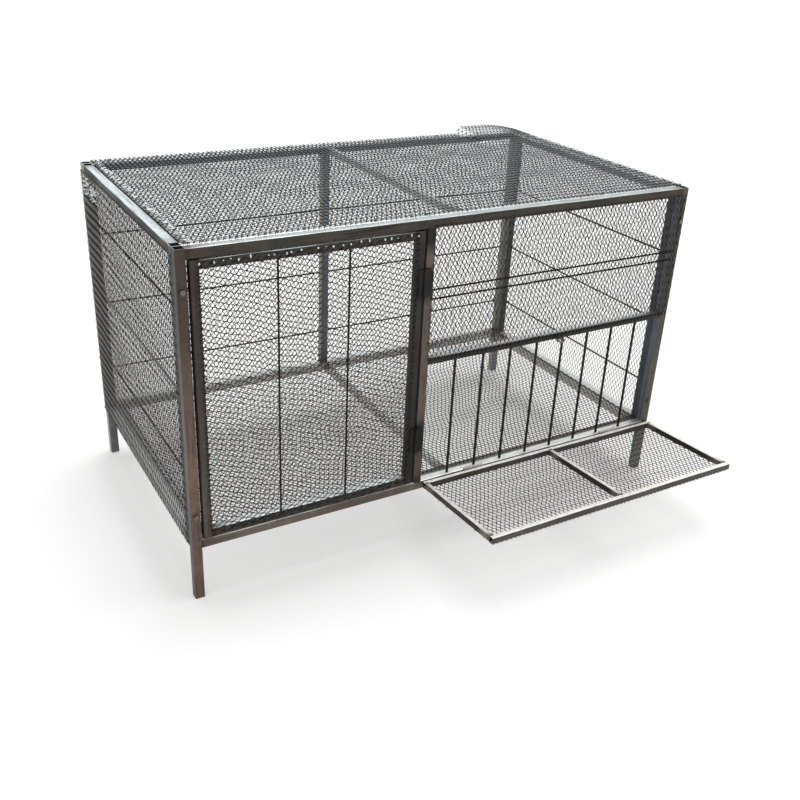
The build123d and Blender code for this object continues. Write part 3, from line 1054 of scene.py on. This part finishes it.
    def slack(self, across_share: np.ndarray, along_share: np.ndarray) -> np.ndarray:
        """How far the net stands off its plane: a belly with slow waves, and none at its edges.

        The belly is half a sine wave each way, and the waves are a level and a swing, which is a sine across
        the net times a cosine along it.

        Args:
            across_share: Places across the net, as shares of its width.
            along_share: Places along it, as shares of its height.

        Returns:
            The distance at each place.
        """
        belly = np.sin(math.pi * across_share) * np.sin(math.pi * along_share)
        across_wave = np.sin(self.belly_turns[0] * across_share + self.belly_start)
        along_wave = np.cos(self.belly_turns[1] * along_share)
        return self.belly * belly * (self.belly_level + self.belly_swing * across_wave * along_wave)

    def tubes(self, paths: np.ndarray) -> np.ndarray:
        """A section carried along every wire.

        The section's plane is square to the mean of the runs on either side, and its second direction stays
        out of the net's plane.

        Args:
            paths: The wires' centre lines.

        Returns:
            Points of shape wires, points, sides, 3.
        """
        runs = unit(np.diff(paths, axis=1))
        ahead = np.concatenate([runs, runs[:, -1:]], axis=1)
        behind = np.concatenate([runs[:, :1], runs], axis=1)
        tangent = unit(ahead + behind)
        sideways = unit(np.cross(Axis.Z.unit(), tangent))
        outward = np.cross(tangent, sideways)
        angle = np.linspace(0, 2 * math.pi, self.sides, endpoint=False)[:, None] + math.pi / 2
        ring = np.cos(angle) * sideways[:, :, None] + np.sin(angle) * outward[:, :, None]
        return paths[:, :, None] + self.wire / 2 * ring

    def skin(self, inside: np.ndarray) -> list[np.ndarray]:
        """The faces of the wires' stretches that lie on the net: quads along them and a cap at each end.

        Args:
            inside: Which points of each wire lie on the net, in one unbroken run a wire.

        Returns:
            Faces that number the sections on the net one after the other, wire by wire.
        """
        number = (np.cumsum(inside) - 1).reshape(inside.shape) * self.sides
        joined = inside[:, :-1] & inside[:, 1:]
        begin, end = number[:, :-1][joined][:, None], number[:, 1:][joined][:, None]
        corner = np.arange(self.sides)
        following = (corner + 1) % self.sides
        quads = np.stack([begin + corner, begin + following, end + following, end + corner], axis=-1)
        edge = np.zeros((len(inside), 1), dtype=bool)
        first = inside & ~np.concatenate([edge, inside[:, :-1]], axis=1)
        last = inside & ~np.concatenate([inside[:, 1:], edge], axis=1)
        caps = [number[first][:, None] + corner[::-1], number[last][:, None] + corner]
        return [quads.reshape(-1, 4), np.concatenate(caps)]

    def build(self, body: str, tilt: Tilt) -> None:
        """Makes the net's pieces, one for each strip. The twists of every second row gleam.

        Args:
            body: The body that the net rides on.
            tilt: How the panel is tipped.
        """
        plane = self.plane(tilt)
        paths, inside = self.wires(plane.width, plane.height)
        long_enough = inside.sum(axis=1) > 1
        paths, inside = paths[long_enough], inside[long_enough]
        tubes = self.tubes(paths)
        tubes[..., 2] += self.wire
        points = plane.place(tubes)
        second_row = np.arange(paths.shape[1] - 2) // self.twist_points % 2
        gleam = np.pad(second_row.astype(float), 1, constant_values=0.5)[None, :, None]
        gleam = np.broadcast_to(gleam, points.shape[:3])
        strips = np.array_split(np.arange(len(points)), self.strips)
        for number, strip in enumerate(strips, start=1):
            kept = inside[strip]
            Piece(
                name=f"{self.node}_wire_{number}",
                points=tilt.tip(points[strip][kept]),
                faces=self.skin(kept),
                material=self.finish.material(),
                body=body,
                slot="netting",
                nodes=[self.node],
                attributes={"gleam": gleam[strip][kept]},
                sharp_degrees=180.0,
            ).place()


@dataclass(frozen=True)
class BeadPlaces:
    """The beads' middles, the ways that they run and stand out, and their lengths.

    A way or a length may be one for all.
    """

    centres: np.ndarray
    runs: np.ndarray
    normals: np.ndarray
    lengths: np.ndarray | float


@dataclass(frozen=True)
class Beads:
    """Rippled weld beads, each a tapered ridge half sunk in the tube."""

    width: float = 2.2 * MM
    height: float = 1.1 * MM
    rows: int = 9
    columns: int = 6
    ripple: float = 0.16
    ripples: int = 3

    def points(self, places: BeadPlaces) -> np.ndarray:
        """Every bead's points.

        An ellipse is carried along the bead, swollen by its ripples and drawn in to nothing at its ends.

        Args:
            places: Where the beads lie.

        Returns:
            Points of shape beads, rows, columns, 3.
        """
        shape = places.centres.shape
        runs, normals = np.broadcast_to(places.runs, shape), np.broadcast_to(places.normals, shape)
        lengths = np.broadcast_to(places.lengths, shape[:1])[:, None]
        share = np.linspace(-1, 1, self.rows)[:, None, None]
        angle = np.linspace(0, 2 * math.pi, self.columns, endpoint=False)[:, None]
        swell = 1 + self.ripple * np.cos(share * self.ripples * math.pi)
        taper = np.sqrt(np.clip(1 - share**4, 0, 1)) * swell
        sideways = np.cross(normals, runs)
        run = places.centres[:, None, None] + share * (lengths / 2 * runs)[:, None, None]
        wide = np.cos(angle) * self.width * sideways[:, None, None]
        tall = np.sin(angle) * self.height * normals[:, None, None]
        return run + taper * (wide + tall)

    def build(
        self, name: str, places: BeadPlaces, finish: SteelFinish, body: str, slot: str, tilt: Tilt = Tilt()
    ) -> None:
        """Makes one piece of beads.

        Args:
            name: The piece's name.
            places: Where the beads lie, with the panel level.
            finish: Their finish.
            body: The body that they ride on.
            slot: Their material slot.
            tilt: How the panel is tipped.
        """
        quads = grid_quads(self.rows, self.columns)
        Piece(
            name=name,
            points=tilt.tip(self.points(places)),
            faces=[repeated(quads, len(places.centres), self.rows * self.columns)],
            material=finish.material(),
            body=body,
            slot=slot,
        ).place()


# Welds and tacks
JOINT_BEADS = Beads()
ROD_BLOBS = Beads(width=2.6 * MM, height=2.6 * MM, rows=6)
DULL_TACKS = Beads(width=1.4 * MM, height=1.1 * MM, rows=5)
BRIGHT_TACKS = Beads(width=1.7 * MM, height=1.4 * MM, rows=5)


@dataclass(frozen=True)
class CutEnds:
    """Bright ends where a net was cut with snips, scattered over one stretch of its edge."""

    name: str
    node: str
    normal: Point
    run: Axis
    low_share: Point
    high_share: Point
    count: int
    length: tuple[float, float] = (5 * MM, 13 * MM)
    thickness: float = 1.1 * MM
    stand_off: float = 2.2 * MM
    splay: float = 0.35
    rise: float = 0.25
    seed: int = 3

    def build(self) -> None:
        """Makes the ends as thin tapered wires that point about the way the net's wires run.

        Each middle is drawn evenly between two shares of the net's box, and each direction is the wires' own
        with a drawn part every way and a little outwards.
        """
        rng = np.random.default_rng(self.seed)
        low, high = (np.array(end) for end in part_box(self.node))
        shares = rng.uniform(self.low_share, self.high_share, (self.count, 3))
        normal = np.array(self.normal)
        centres = low + shares * (high - low) + normal * self.stand_off
        runs = unit(self.run.unit() + rng.normal(0, self.splay, (self.count, 3)) + self.rise * normal)
        normals = np.cross(runs, unit(np.cross(normal, runs)))
        lengths = rng.uniform(*self.length, self.count)
        wires = Beads(width=self.thickness, height=self.thickness, rows=4, columns=4)
        wires.build(self.name, BeadPlaces(centres, runs, normals, lengths), CUT_WIRE, "cage", "netting")


@dataclass(frozen=True)
class Rods:
    """Thin rods of one CAD node, which keep their solids and get a tack weld at each end."""

    node: str
    axis: Axis
    spread: Axis

    def ends(self) -> np.ndarray:
        """Finds the middle of each rod's end, on the panel's own lines.

        Returns:
            Points, one row each.
        """
        points = node_points(self.node)
        places = [self.clusters(points[:, axis.value]) for axis in (self.axis, self.spread)]
        along, aside = np.meshgrid(*places, indexing="ij")
        made = np.tile((points.min(axis=0) + points.max(axis=0)) / 2, (along.size, 1))
        made[:, self.axis.value] = along.ravel()
        made[:, self.spread.value] = aside.ravel()
        return made

    @staticmethod
    def clusters(values: np.ndarray, gap: float = 8 * MM) -> np.ndarray:
        """The middle of each run of values that lie close together.

        Args:
            values: The values, in any order.
            gap: What parts one run from the next.

        Returns:
            The middles, from low to high.
        """
        ordered = np.sort(values)
        cuts = np.flatnonzero(np.diff(ordered) > gap)
        firsts = np.concatenate([[0], cuts + 1])
        lasts = np.concatenate([cuts, [len(ordered) - 1]])
        return (ordered[firsts] + ordered[lasts]) / 2


def dress_node(node: str, finish: SteelFinish) -> None:
    """Gives a CAD node whose shape is right its finish.

    Args:
        node: The node's name.
        finish: Its finish.
    """
    slots = frame["nodes"][node].data.materials
    slots.clear()
    slots.append(finish.material())
    log.info("%s: finished in %s", node, finish.name)


@dataclass
class Panel:
    """A welded frame with its nets and rods, all on one body.

    Tacks stray by a share of their pitch along the net's edge, and by a share of their inset across it.
    """

    name: str
    face: Point
    tubes: Sequence[Tube]
    nets: Sequence[WireNet]
    rods: Sequence[Rods] = ()
    cut_ends: Sequence[CutEnds] = ()
    body: str = "cage"
    slot: str = "frame_zinc"
    tilt: Tilt = Tilt()
    bead_share: float = 0.8
    rod_blob_length: float = 6 * MM
    tack_pitch: float = 46 * MM
    tack_inset: float = 4 * MM
    tack_stray: tuple[float, float] = (0.45, 0.5)
    tack_millimetres: tuple[float, float] = (2.0, 9.0)
    tack_seed: int = 11

    def dress(self) -> None:
        """Builds the panel's tubes, nets, welds and tacks, and finishes its rods."""
        for tube in self.tubes:
            tube.build(self.body, self.slot, self.tilt)
        for net in self.nets:
            net.build(self.body, self.tilt)
        for ends in self.cut_ends:
            ends.build()
        for rods in self.rods:
            dress_node(rods.node, ROD_SCALE)
        self.weld_joints()
        if self.rods:
            self.weld_rods()
        self.tack()

    def weld_joints(self) -> None:
        """Puts a bead across both faces of every butt joint."""
        normal = np.array(self.face)
        spans = [span for tube in self.tubes if tube.welded for span in tube.spans(self.tilt)]
        beads = []
        for span, end, face in product(spans, (-0.5, 0.5), (-1, 1)):
            axis = span.axis.unit()
            across = np.cross(normal, axis)
            centre = span.middle + end * span.length * axis + face * span.reach(normal) / 2 * normal
            beads.append((centre, across, face * normal, self.bead_share * span.reach(across)))
        places = BeadPlaces(*(np.array(column) for column in zip(*beads)))
        JOINT_BEADS.build(f"{self.name}_welds", places, BEAD_STEEL, self.body, "hinge_steel", self.tilt)

    def weld_rods(self) -> None:
        """Puts a short bead at each rod's end."""
        ends = [rods.ends() for rods in self.rods]
        runs = [np.tile(rods.spread.unit(), (len(group), 1)) for rods, group in zip(self.rods, ends)]
        places = BeadPlaces(
            np.concatenate(ends), np.concatenate(runs), np.array(self.face), self.rod_blob_length
        )
        ROD_BLOBS.build(f"{self.name}_rod_tacks", places, BEAD_STEEL, self.body, "hinge_steel", self.tilt)

    def tack(self) -> None:
        """Puts small tacks along each net's edges, where it is welded to the tubes."""
        rng = np.random.default_rng(self.tack_seed)
        for net in self.nets:
            low_edge, top_edge, *side_edges = self.tack_edges(net, rng)
            dull_edges = [low_edge, top_edge, *side_edges]
            if net.bright_top:
                self.place_tacks(f"{net.node}_bright_tacks", net, top_edge, BRIGHT_TACKS, TACK_STEEL)
                dull_edges = [low_edge, *side_edges]
            self.place_tacks(f"{net.node}_tacks", net, np.concatenate(dull_edges), DULL_TACKS, BEAD_STEEL)

    def tack_edges(self, net: WireNet, rng: np.random.Generator) -> list[np.ndarray]:
        """Spaces tacks along a net's four edges, each strayed a little from its place.

        Args:
            net: The net.
            rng: Where the strays are drawn from.

        Returns:
            The tacks' middles along the low and top edges, or the front and back edges of a level net, then
            along the side edges, with the panel laid level.
        """
        points = self.tilt.level(node_points(net.node))
        low, high = points.min(axis=0), points.max(axis=0)
        out = np.array(net.normal)
        level = np.where(out > 0, low, high) * np.abs(out) + out * net.wire
        low, high = low + self.tack_inset, high - self.tack_inset
        along_stray, aside_stray = self.tack_stray
        flat = [axis for axis in range(3) if net.normal[axis] == 0]
        edges = []
        for run, other in (flat, flat[::-1]):
            count = max(2, round((high[run] - low[run]) / self.tack_pitch))
            for edge in (low[other], high[other]):
                spots = np.tile(level, (count, 1))
                spots[:, run] = np.linspace(low[run], high[run], count)
                spots[1:-1, run] += rng.uniform(-along_stray, along_stray, count - 2) * self.tack_pitch
                spots[:, other] = edge + rng.uniform(-aside_stray, aside_stray, count) * self.tack_inset
                edges.append(spots)
        return edges

    def place_tacks(
        self, name: str, net: WireNet, centres: np.ndarray, dots: Beads, finish: SteelFinish
    ) -> None:
        """Makes one piece of tacks.

        Args:
            name: The piece's name.
            net: The net that they hold.
            centres: The tacks' middles, with the panel level.
            dots: Their shape.
            finish: Their finish.
        """
        rng = np.random.default_rng(len(centres))
        out = np.array(net.normal)
        lengths = rng.uniform(*self.tack_millimetres, len(centres)) * MM
        places = BeadPlaces(centres, np.roll(np.abs(out), 1), out, lengths)
        dots.build(name, places, finish, self.body, "netting", self.tilt)


# What several panels share: the lighter tubes' wall, the lean of netting pulled askew, and hinge welds
LIGHT_WALL = 1.0 * MM
PULLED_LEAN = -0.21
HINGE_BURN_RADIUS = 54 * MM
HINGE_SHARES = (0.07, 0.93)


def point_on(node: str, share: Point) -> Point:
    """The point at these shares of a node's box."""
    low, high = (np.array(end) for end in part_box(node))
    return tuple((low + (high - low) * np.array(share)).tolist())


def top_darkening(node: str, radius: float, depth: float = 1.0) -> Darkening:
    """A darkened patch round the top of an upright, on its front face."""
    return Darkening(point_on(node, (0.5, 0.0, 1.0)), radius, depth)


def hinge_burns(node: str) -> tuple[Darkening, ...]:
    """Burnt patches where the two hinges of a node are welded on, at the ends of its box."""
    return tuple(Darkening(point_on(node, (0.5, 0.5, share)), HINGE_BURN_RADIUS) for share in HINGE_SHARES)


@dataclass
class FrontPanel(Panel):
    """The front frame: posts that are legs too, rails, middle post, feeding bars and window."""

    @classmethod
    def make(cls) -> "FrontPanel":
        """Puts the front frame together.

        Returns:
            The panel with its members and finishes.
        """
        # Painted light: each member's zinc has its own painted shade on upright faces and painted tone on
        # faces along X, for the light where it stands; the left post's front face is also darker towards its
        # top
        left_post = ZincFinish(
            "left_post_zinc",
            (216, 224, 226),
            (122, 100, 86),
            (106, 90, 80),
            (104, 98, 92),
            darkenings=(top_darkening("front_left_post", 400 * MM, depth=0.55),),
        )
        right_post = ZincFinish(
            "right_post_zinc", (216, 224, 226), (88, 85, 78), (98, 92, 83), (122, 128, 134)
        )
        hinge_post = ZincFinish(
            "hinge_post_zinc",
            (216, 224, 226),
            (98, 89, 82),
            (114, 100, 88),
            (76, 76, 73),
            darkenings=(*hinge_burns("door_hinge_post_leaves"), top_darkening("front_mid_post", 80 * MM)),
        )
        top_rail = ZincFinish(
            "front_top_zinc", (196, 202, 203), (62, 59, 53), (80, 74, 66), (78, 78, 73), streak=0.6
        )
        mid_rail = ZincFinish("mid_rail_zinc", (226, 230, 231), (44, 44, 42), (54, 52, 50), (58, 58, 56))
        low_rail = ZincFinish(
            "front_low_zinc", (250, 252, 250), (122, 111, 99), (108, 98, 88), (98, 93, 86), streak=0.3
        )
        return cls(
            name="front",
            face=(0, -1, 0),
            tubes=[
                Tube("front_left_post", Axis.Z, left_post, welded=False),
                Tube("front_right_post", Axis.Z, right_post, welded=False),
                Tube("front_top_rail", Axis.X, top_rail),
                Tube("front_bottom_rail", Axis.X, low_rail),
                Tube("front_mid_post", Axis.Z, hinge_post),
                Tube("front_mid_rail", Axis.X, mid_rail, LIGHT_WALL),
            ],
            nets=[WireNet("window_net", (0, -1, 0), Axis.Z, lean=PULLED_LEAN, lap=15 * MM)],
            rods=[Rods("feeder_bars", Axis.Z, Axis.X), Rods("window_rods", Axis.X, Axis.Z)],
        )


@dataclass
class BackPanel(Panel):
    """The back frame: posts that are legs too, rails, middle post and rods."""

    @classmethod
    def make(cls) -> "BackPanel":
        """Puts the back frame together.

        Returns:
            The panel with its members and finishes.
        """
        # Painted shade: the back's upright faces are painted slate grey, and its bottom rail's darker still
        zinc = ZincFinish(
            "back_zinc", (240, 245, 246), (128, 132, 135), (112, 115, 117), (172, 168, 162), streak=0.3
        )
        low_rail = ZincFinish("back_low_zinc", (246, 249, 249), (58, 60, 61), (50, 52, 52), (58, 60, 61))
        return cls(
            name="back",
            face=(0, 1, 0),
            tubes=[
                Tube("back_left_post", Axis.Z, zinc, welded=False),
                Tube("back_right_post", Axis.Z, zinc, welded=False),
                Tube("back_top_rail", Axis.X, zinc),
                Tube("back_bottom_rail", Axis.X, low_rail),
                Tube("back_mid_post", Axis.Z, zinc),
            ],
            nets=[WireNet("back_net", (0, 1, 0), Axis.Z, strips=2)],
            rods=[Rods("back_rods", Axis.X, Axis.Z)],
        )


@dataclass
class SidePanel(Panel):
    """A side frame, left or right, bolted between the posts."""

    @classmethod
    def make(
        cls, side: str, outward: float, top_rail: ZincFinish, low_rail: ZincFinish, frayed: bool
    ) -> "SidePanel":
        """Puts the frame of one side together.

        Args:
            side: The side's name, as the nodes have it.
            outward: The sign of X on that side.
            top_rail: The finish of its top rail.
            low_rail: The finish of its bottom rail.
            frayed: Whether the net's upper back corner has come undone.

        Returns:
            The panel with its members and finishes.
        """
        # Painted shade: the stiles' upright faces are painted darker, the front stile's darker and bluer
        front_stile = ZincFinish(
            "front_stile_zinc", (216, 224, 226), (70, 73, 75), (62, 65, 67), (94, 100, 105)
        )
        back_stile = ZincFinish(
            "back_stile_zinc", (216, 224, 226), (86, 88, 88), (76, 78, 78), (136, 134, 128)
        )
        cut_corner = CutEnds(
            f"{side}_cut_ends",
            f"{side}_net",
            (outward, 0, 0),
            Axis.Y,
            low_share=(0.5, 0.78, 0.92),
            high_share=(0.5, 0.985, 0.99),
            count=90,
            length=(8 * MM, 20 * MM),
        )
        return cls(
            name=side,
            face=(outward, 0, 0),
            tubes=[
                Tube(f"{side}_front_stile", Axis.Z, front_stile, welded=False),
                Tube(f"{side}_back_stile", Axis.Z, back_stile, welded=False),
                Tube(f"{side}_top_rail", Axis.Y, top_rail),
                Tube(f"{side}_bottom_rail", Axis.Y, low_rail),
            ],
            nets=[WireNet(f"{side}_net", (outward, 0, 0), Axis.Z, finish=SIDE_WIRE, wire=1.35 * MM)],
            rods=[Rods(f"{side}_rods", Axis.Y, Axis.Z)],
            cut_ends=[cut_corner] if frayed else [],
        )


@dataclass(frozen=True)
class LevelFinish:
    """The finishes of a level frame's rails and of its net."""

    front: ZincFinish
    back: ZincFinish
    ends: ZincFinish
    cross: ZincFinish
    wire: SteelFinish


@dataclass
class LevelPanel(Panel):
    """The roof or the floor: a level frame with a cross rail and a net on top."""

    side_gap: float = 4 * MM
    cut_share: float = 0.008
    cut_spread: float = 0.004
    cut_count: int = 110

    @classmethod
    def make(
        cls, level: str, finish: LevelFinish, frayed: bool, lift: Lift | None = None
    ) -> "LevelPanel":
        """Puts the frame of one level together.

        Args:
            level: The level's name, as the nodes have it.
            finish: The finishes of its rails and net.
            frayed: Whether cut wire ends stand up along the net's sides.
            lift: A stretch of the net's back edge that has sprung up.

        Returns:
            The panel with its members and finishes.
        """
        gap = (cls.side_gap, 0.0, 0.0)
        cut_ends = [
            CutEnds(
                f"{level}_{side}_cut_ends",
                f"{level}_net",
                (0, 0, 1),
                Axis.X,
                low_share=(middle - cls.cut_spread, 0.0, 0.5),
                high_share=(middle + cls.cut_spread, 1.0, 0.5),
                count=cls.cut_count,
            )
            for side, middle in (("left", cls.cut_share), ("right", 1 - cls.cut_share))
        ]
        net = WireNet(
            f"{level}_net",
            (0, 0, 1),
            Axis.Y,
            finish=finish.wire,
            strips=2,
            belly=0.6 * MM,
            sway=4.0 * MM,
            fray=3.0 * MM,
            lift=lift,
        )
        return cls(
            name=level,
            face=(0, 0, 1),
            tubes=[
                Tube(f"{level}_front_rail", Axis.X, finish.front, LIGHT_WALL, welded=False),
                Tube(f"{level}_back_rail", Axis.X, finish.back, LIGHT_WALL, welded=False),
                Tube(
                    f"{level}_end_rails",
                    Axis.Y,
                    finish.ends,
                    LIGHT_WALL,
                    twin=True,
                    off_low=gap,
                    off_high=gap,
                ),
                Tube(f"{level}_cross_rail", Axis.Y, finish.cross, LIGHT_WALL),
            ],
            nets=[net],
            cut_ends=cut_ends if frayed else [],
        )


@dataclass
class Door(Panel):
    """The side-hung door: stiles, rails, upright rods and its net."""

    @classmethod
    def make(cls) -> "Door":
        """Puts the door together.

        Returns:
            The door with its members and finishes.
        """
        # Painted shade on the door's upright faces, darkest on the hinge stile; the latch stile's front face
        # is also darker towards its top
        rail = ZincFinish("door_rail_zinc", (240, 249, 252), (62, 60, 56), (72, 69, 64), (62, 60, 56))
        latch_stile = ZincFinish(
            "latch_stile_zinc",
            (216, 222, 222),
            (110, 97, 88),
            (92, 82, 75),
            (84, 79, 74),
            darkenings=(top_darkening("door_left_stile", 620 * MM, depth=0.6),),
        )
        hinge_stile = ZincFinish(
            "hinge_stile_zinc",
            (216, 222, 222),
            (60, 57, 53),
            (52, 49, 46),
            (54, 54, 53),
            darkenings=hinge_burns("door_hinge_door_leaves"),
        )
        net = WireNet(
            "door_net",
            (0, -1, 0),
            Axis.X,
            lean=PULLED_LEAN,
            bright_top=True,
            mesh=11.7 * MM,
            row=10.4 * MM,
        )
        return cls(
            name="door",
            body="door",
            face=(0, -1, 0),
            tubes=[
                Tube("door_left_stile", Axis.Z, latch_stile, LIGHT_WALL, welded=False),
                Tube("door_right_stile", Axis.Z, hinge_stile, LIGHT_WALL, welded=False),
                Tube("door_top_rail", Axis.X, rail, LIGHT_WALL),
                Tube("door_bottom_rail", Axis.X, rail, LIGHT_WALL),
            ],
            nets=[net],
            rods=[Rods("door_rods", Axis.Z, Axis.X)],
            tack_pitch=19 * MM,
        )


@dataclass
class Flap(Panel):
    """The feeding flap, which rests with its front edge a little above level."""

    rest_tilt_degrees: float = 4.0
    slim: float = 5 * MM
    front_slim: float = 3 * MM

    @classmethod
    def make(cls) -> "Flap":
        """Puts the flap together.

        Its rails are narrower than they are tall. They keep their outer faces, and the rails between them
        reach on up to the narrower front and rear rails.

        Returns:
            The flap with its members and finishes.
        """
        slim, front_slim = cls.slim, cls.front_slim
        hinge = next(joint for joint in frame["joints"] if joint["child"] == "flap")
        # Painted shade on the flap rails' upright faces; the pale straw colour makes its rails lighter near
        # their welded ends
        zinc = ZincFinish(
            "flap_tube_zinc",
            (255, 253, 247),
            (86, 84, 78),
            (76, 74, 69),
            (62, 60, 55),
            straw=(190, 182, 164),
            streak=0.08,
            shine=0.25,
        )
        between = [
            Tube(
                f"flap_{place}_rail",
                Axis.Y,
                zinc,
                LIGHT_WALL,
                off_low=(slim * low_share, -front_slim, 0.0),
                off_high=(slim * (1 - low_share), -slim, 0.0),
            )
            for place, low_share in (("left", 0.0), ("middle", 0.5), ("right", 1.0))
        ]
        rear_off, front_off = (0.0, slim, 0.0), (0.0, front_slim, 0.0)
        return cls(
            name="flap",
            body="flap",
            face=(0, 0, 1),
            slot="flap_zinc",
            tilt=Tilt(tuple(hinge["pos_m"]), -cls.rest_tilt_degrees),
            tubes=[
                Tube("flap_rear_rail", Axis.X, zinc, LIGHT_WALL, welded=False, off_low=rear_off),
                Tube("flap_front_rail", Axis.X, zinc, LIGHT_WALL, welded=False, off_high=front_off),
                *between,
            ],
            nets=[WireNet("flap_net", (0, 0, -1), Axis.Y, finish=FLAP_WIRE, lean=-0.15, belly=1.0 * MM)],
        )


@dataclass
class Fittings:
    """Hinges, eye, bolts and nuts, which keep their solids."""

    door_hinges: Sequence[str] = ("door_hinge_post_leaves", "door_hinge_door_leaves", "door_hinge_pins")
    flap_hinges: Sequence[str] = ("flap_hinge_frame_leaves", "flap_hinge_flap_leaves", "flap_hinge_pins")
    eyes: Sequence[str] = ("catch_eye",)
    fasteners: Sequence[str] = ("panel_bolts", "panel_nuts")

    def dress(self) -> None:
        """Gives each fitting its finish."""
        for nodes, finish in (
            (self.door_hinges, HINGE_SCALE),
            (self.flap_hinges, FLAP_HINGE_ZINC),
            (self.eyes, EYE_ZINC),
            (self.fasteners, BOLT_ZINC),
        ):
            for node in nodes:
                dress_node(node, finish)


@dataclass(frozen=True)
class PhotoCamera:
    """The camera of the photograph, fitted to the frame's corners."""

    position: Point = (-1.0527, -1.7129, 1.2601)
    azimuth_degrees: float = -31.18
    elevation_degrees: float = 26.17
    roll_degrees: float = -2.92
    focal_px: float = 948.5
    centre_px: tuple[float, float] = (402.0, 384.9)
    frame_px: float = 800.0
    sensor_mm: float = 36.0
    sight: float = 200.0

    def build(self) -> None:
        """Makes the camera and gives it to the scene."""
        turn, rise = math.radians(self.azimuth_degrees), math.radians(self.elevation_degrees)
        right = np.array([math.cos(turn), math.sin(turn), 0.0])
        back = np.array([math.sin(turn) * math.cos(rise), -math.cos(turn) * math.cos(rise), math.sin(rise)])
        level = Matrix(np.stack([right, np.cross(back, right), back], axis=1).tolist())
        data = bpy.data.cameras.new("photo_camera")
        data.sensor_width = self.sensor_mm
        data.lens = self.focal_px * self.sensor_mm / self.frame_px
        data.shift_x = 0.5 - self.centre_px[0] / self.frame_px
        data.shift_y = self.centre_px[1] / self.frame_px - 0.5
        data.clip_end = self.sight
        camera = bpy.data.objects.new("photo_camera", data)
        roll = Matrix.Rotation(math.radians(-self.roll_degrees), 3, "Z")
        camera.matrix_world = Matrix.Translation(self.position) @ (level @ roll).to_4x4()
        bpy.context.scene.collection.objects.link(camera)
        bpy.context.scene.camera = camera


@dataclass(frozen=True)
class Studio:
    """A white floor, an even sky and one soft sun."""

    floor_size: float = 80.0
    floor_tone: float = 0.8
    floor_glow: float = 0.34
    sky: float = 0.5
    sun: float = 1.65
    sun_softness_degrees: float = 40.0
    sun_elevation_degrees: float = 76.0
    sun_azimuth_degrees: float = 120.0

    @staticmethod
    def background_rays(bench: NodeBench) -> bpy.types.NodeSocket:
        """Finds the rays that show the background: from the camera, a reflection or through glass.

        Args:
            bench: The bench of the tree that asks.

        Returns:
            One for those rays, zero for the others.
        """
        rays = bench.node("ShaderNodeLightPath").outputs
        seen = bench.math("MAXIMUM", rays["Is Camera Ray"], rays["Is Glossy Ray"])
        return bench.math("MAXIMUM", seen, rays["Is Transmission Ray"])

    def build_floor(self) -> None:
        """Lays the floor: pale, with a little light of its own for the rays that show it."""
        half = self.floor_size / 2
        corners = [(-half, -half, 0), (half, -half, 0), (half, half, 0), (-half, half, 0)]
        mesh = bpy.data.meshes.new("floor")
        mesh.from_pydata(corners, [], [(0, 1, 2, 3)])
        floor = bpy.data.objects.new("floor", mesh)
        bpy.context.scene.collection.objects.link(floor)
        material, bench, shader = new_material("studio_floor")
        bench.feed(
            shader,
            {
                "Base Color": (self.floor_tone, self.floor_tone, self.floor_tone, 1.0),
                "Roughness": 1.0,
                "Specular IOR Level": 0.0,
                "Emission Color": WHITE,
                "Emission Strength": bench.math("MULTIPLY", self.background_rays(bench), self.floor_glow),
            },
        )
        mesh.materials.append(material)

    def build_sky(self) -> None:
        """Sets an even sky, which is plain white where it is seen."""
        world = bpy.data.worlds.new("studio_sky")
        world.use_nodes = True
        bench = NodeBench(world.node_tree)
        strength = bench.math("MAXIMUM", self.background_rays(bench), self.sky)
        bench.feed(world.node_tree.nodes["Background"], {"Color": WHITE, "Strength": strength})
        bpy.context.scene.world = world

    def build_sun(self) -> None:
        """Hangs one soft sun, nearly overhead, to the right and a little behind."""
        data = bpy.data.lights.new("soft_sun", "SUN")
        data.energy = self.sun
        data.angle = math.radians(self.sun_softness_degrees)
        lamp = bpy.data.objects.new("soft_sun", data)
        lean, turn = math.radians(90 - self.sun_elevation_degrees), math.radians(self.sun_azimuth_degrees)
        lamp.rotation_euler = (lean, 0.0, turn)
        bpy.context.scene.collection.objects.link(lamp)

    def build(self) -> None:
        """Sets up the floor, the lights and the plain view of colours."""
        self.build_floor()
        self.build_sky()
        self.build_sun()
        bpy.context.scene.view_settings.view_transform = "Standard"


def main() -> None:
    """Dresses every sub-assembly in order and sets up the picture."""
    logging.basicConfig(level=logging.INFO, format="%(name)s: %(message)s")
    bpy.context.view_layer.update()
    sprung_edge = Lift(start=0.826, end=1.0, height=18 * MM, depth=170 * MM)
    roof_finish = LevelFinish(ROOF_ZINC, ROOF_BACK_ZINC, ROOF_ZINC, ROOF_CROSS_ZINC, ROOF_WIRE)
    floor_finish = LevelFinish(FLOOR_EDGE_ZINC, FLOOR_ZINC, FLOOR_ZINC, FLOOR_ZINC, WIRE)
    assemblies = [
        FrontPanel.make(),
        BackPanel.make(),
        SidePanel.make("left", -1.0, LEFT_TOP_ZINC, LEFT_LOW_ZINC, frayed=True),
        SidePanel.make("right", 1.0, RIGHT_TOP_ZINC, RIGHT_LOW_ZINC, frayed=False),
        LevelPanel.make("roof", roof_finish, frayed=True, lift=sprung_edge),
        LevelPanel.make("floor", floor_finish, frayed=False),
        Door.make(),
        Flap.make(),
        Fittings(),
    ]
    for assembly in assemblies:
        assembly.dress()
    Studio().build()
    PhotoCamera().build()


if __name__ == "__main__":
    main()
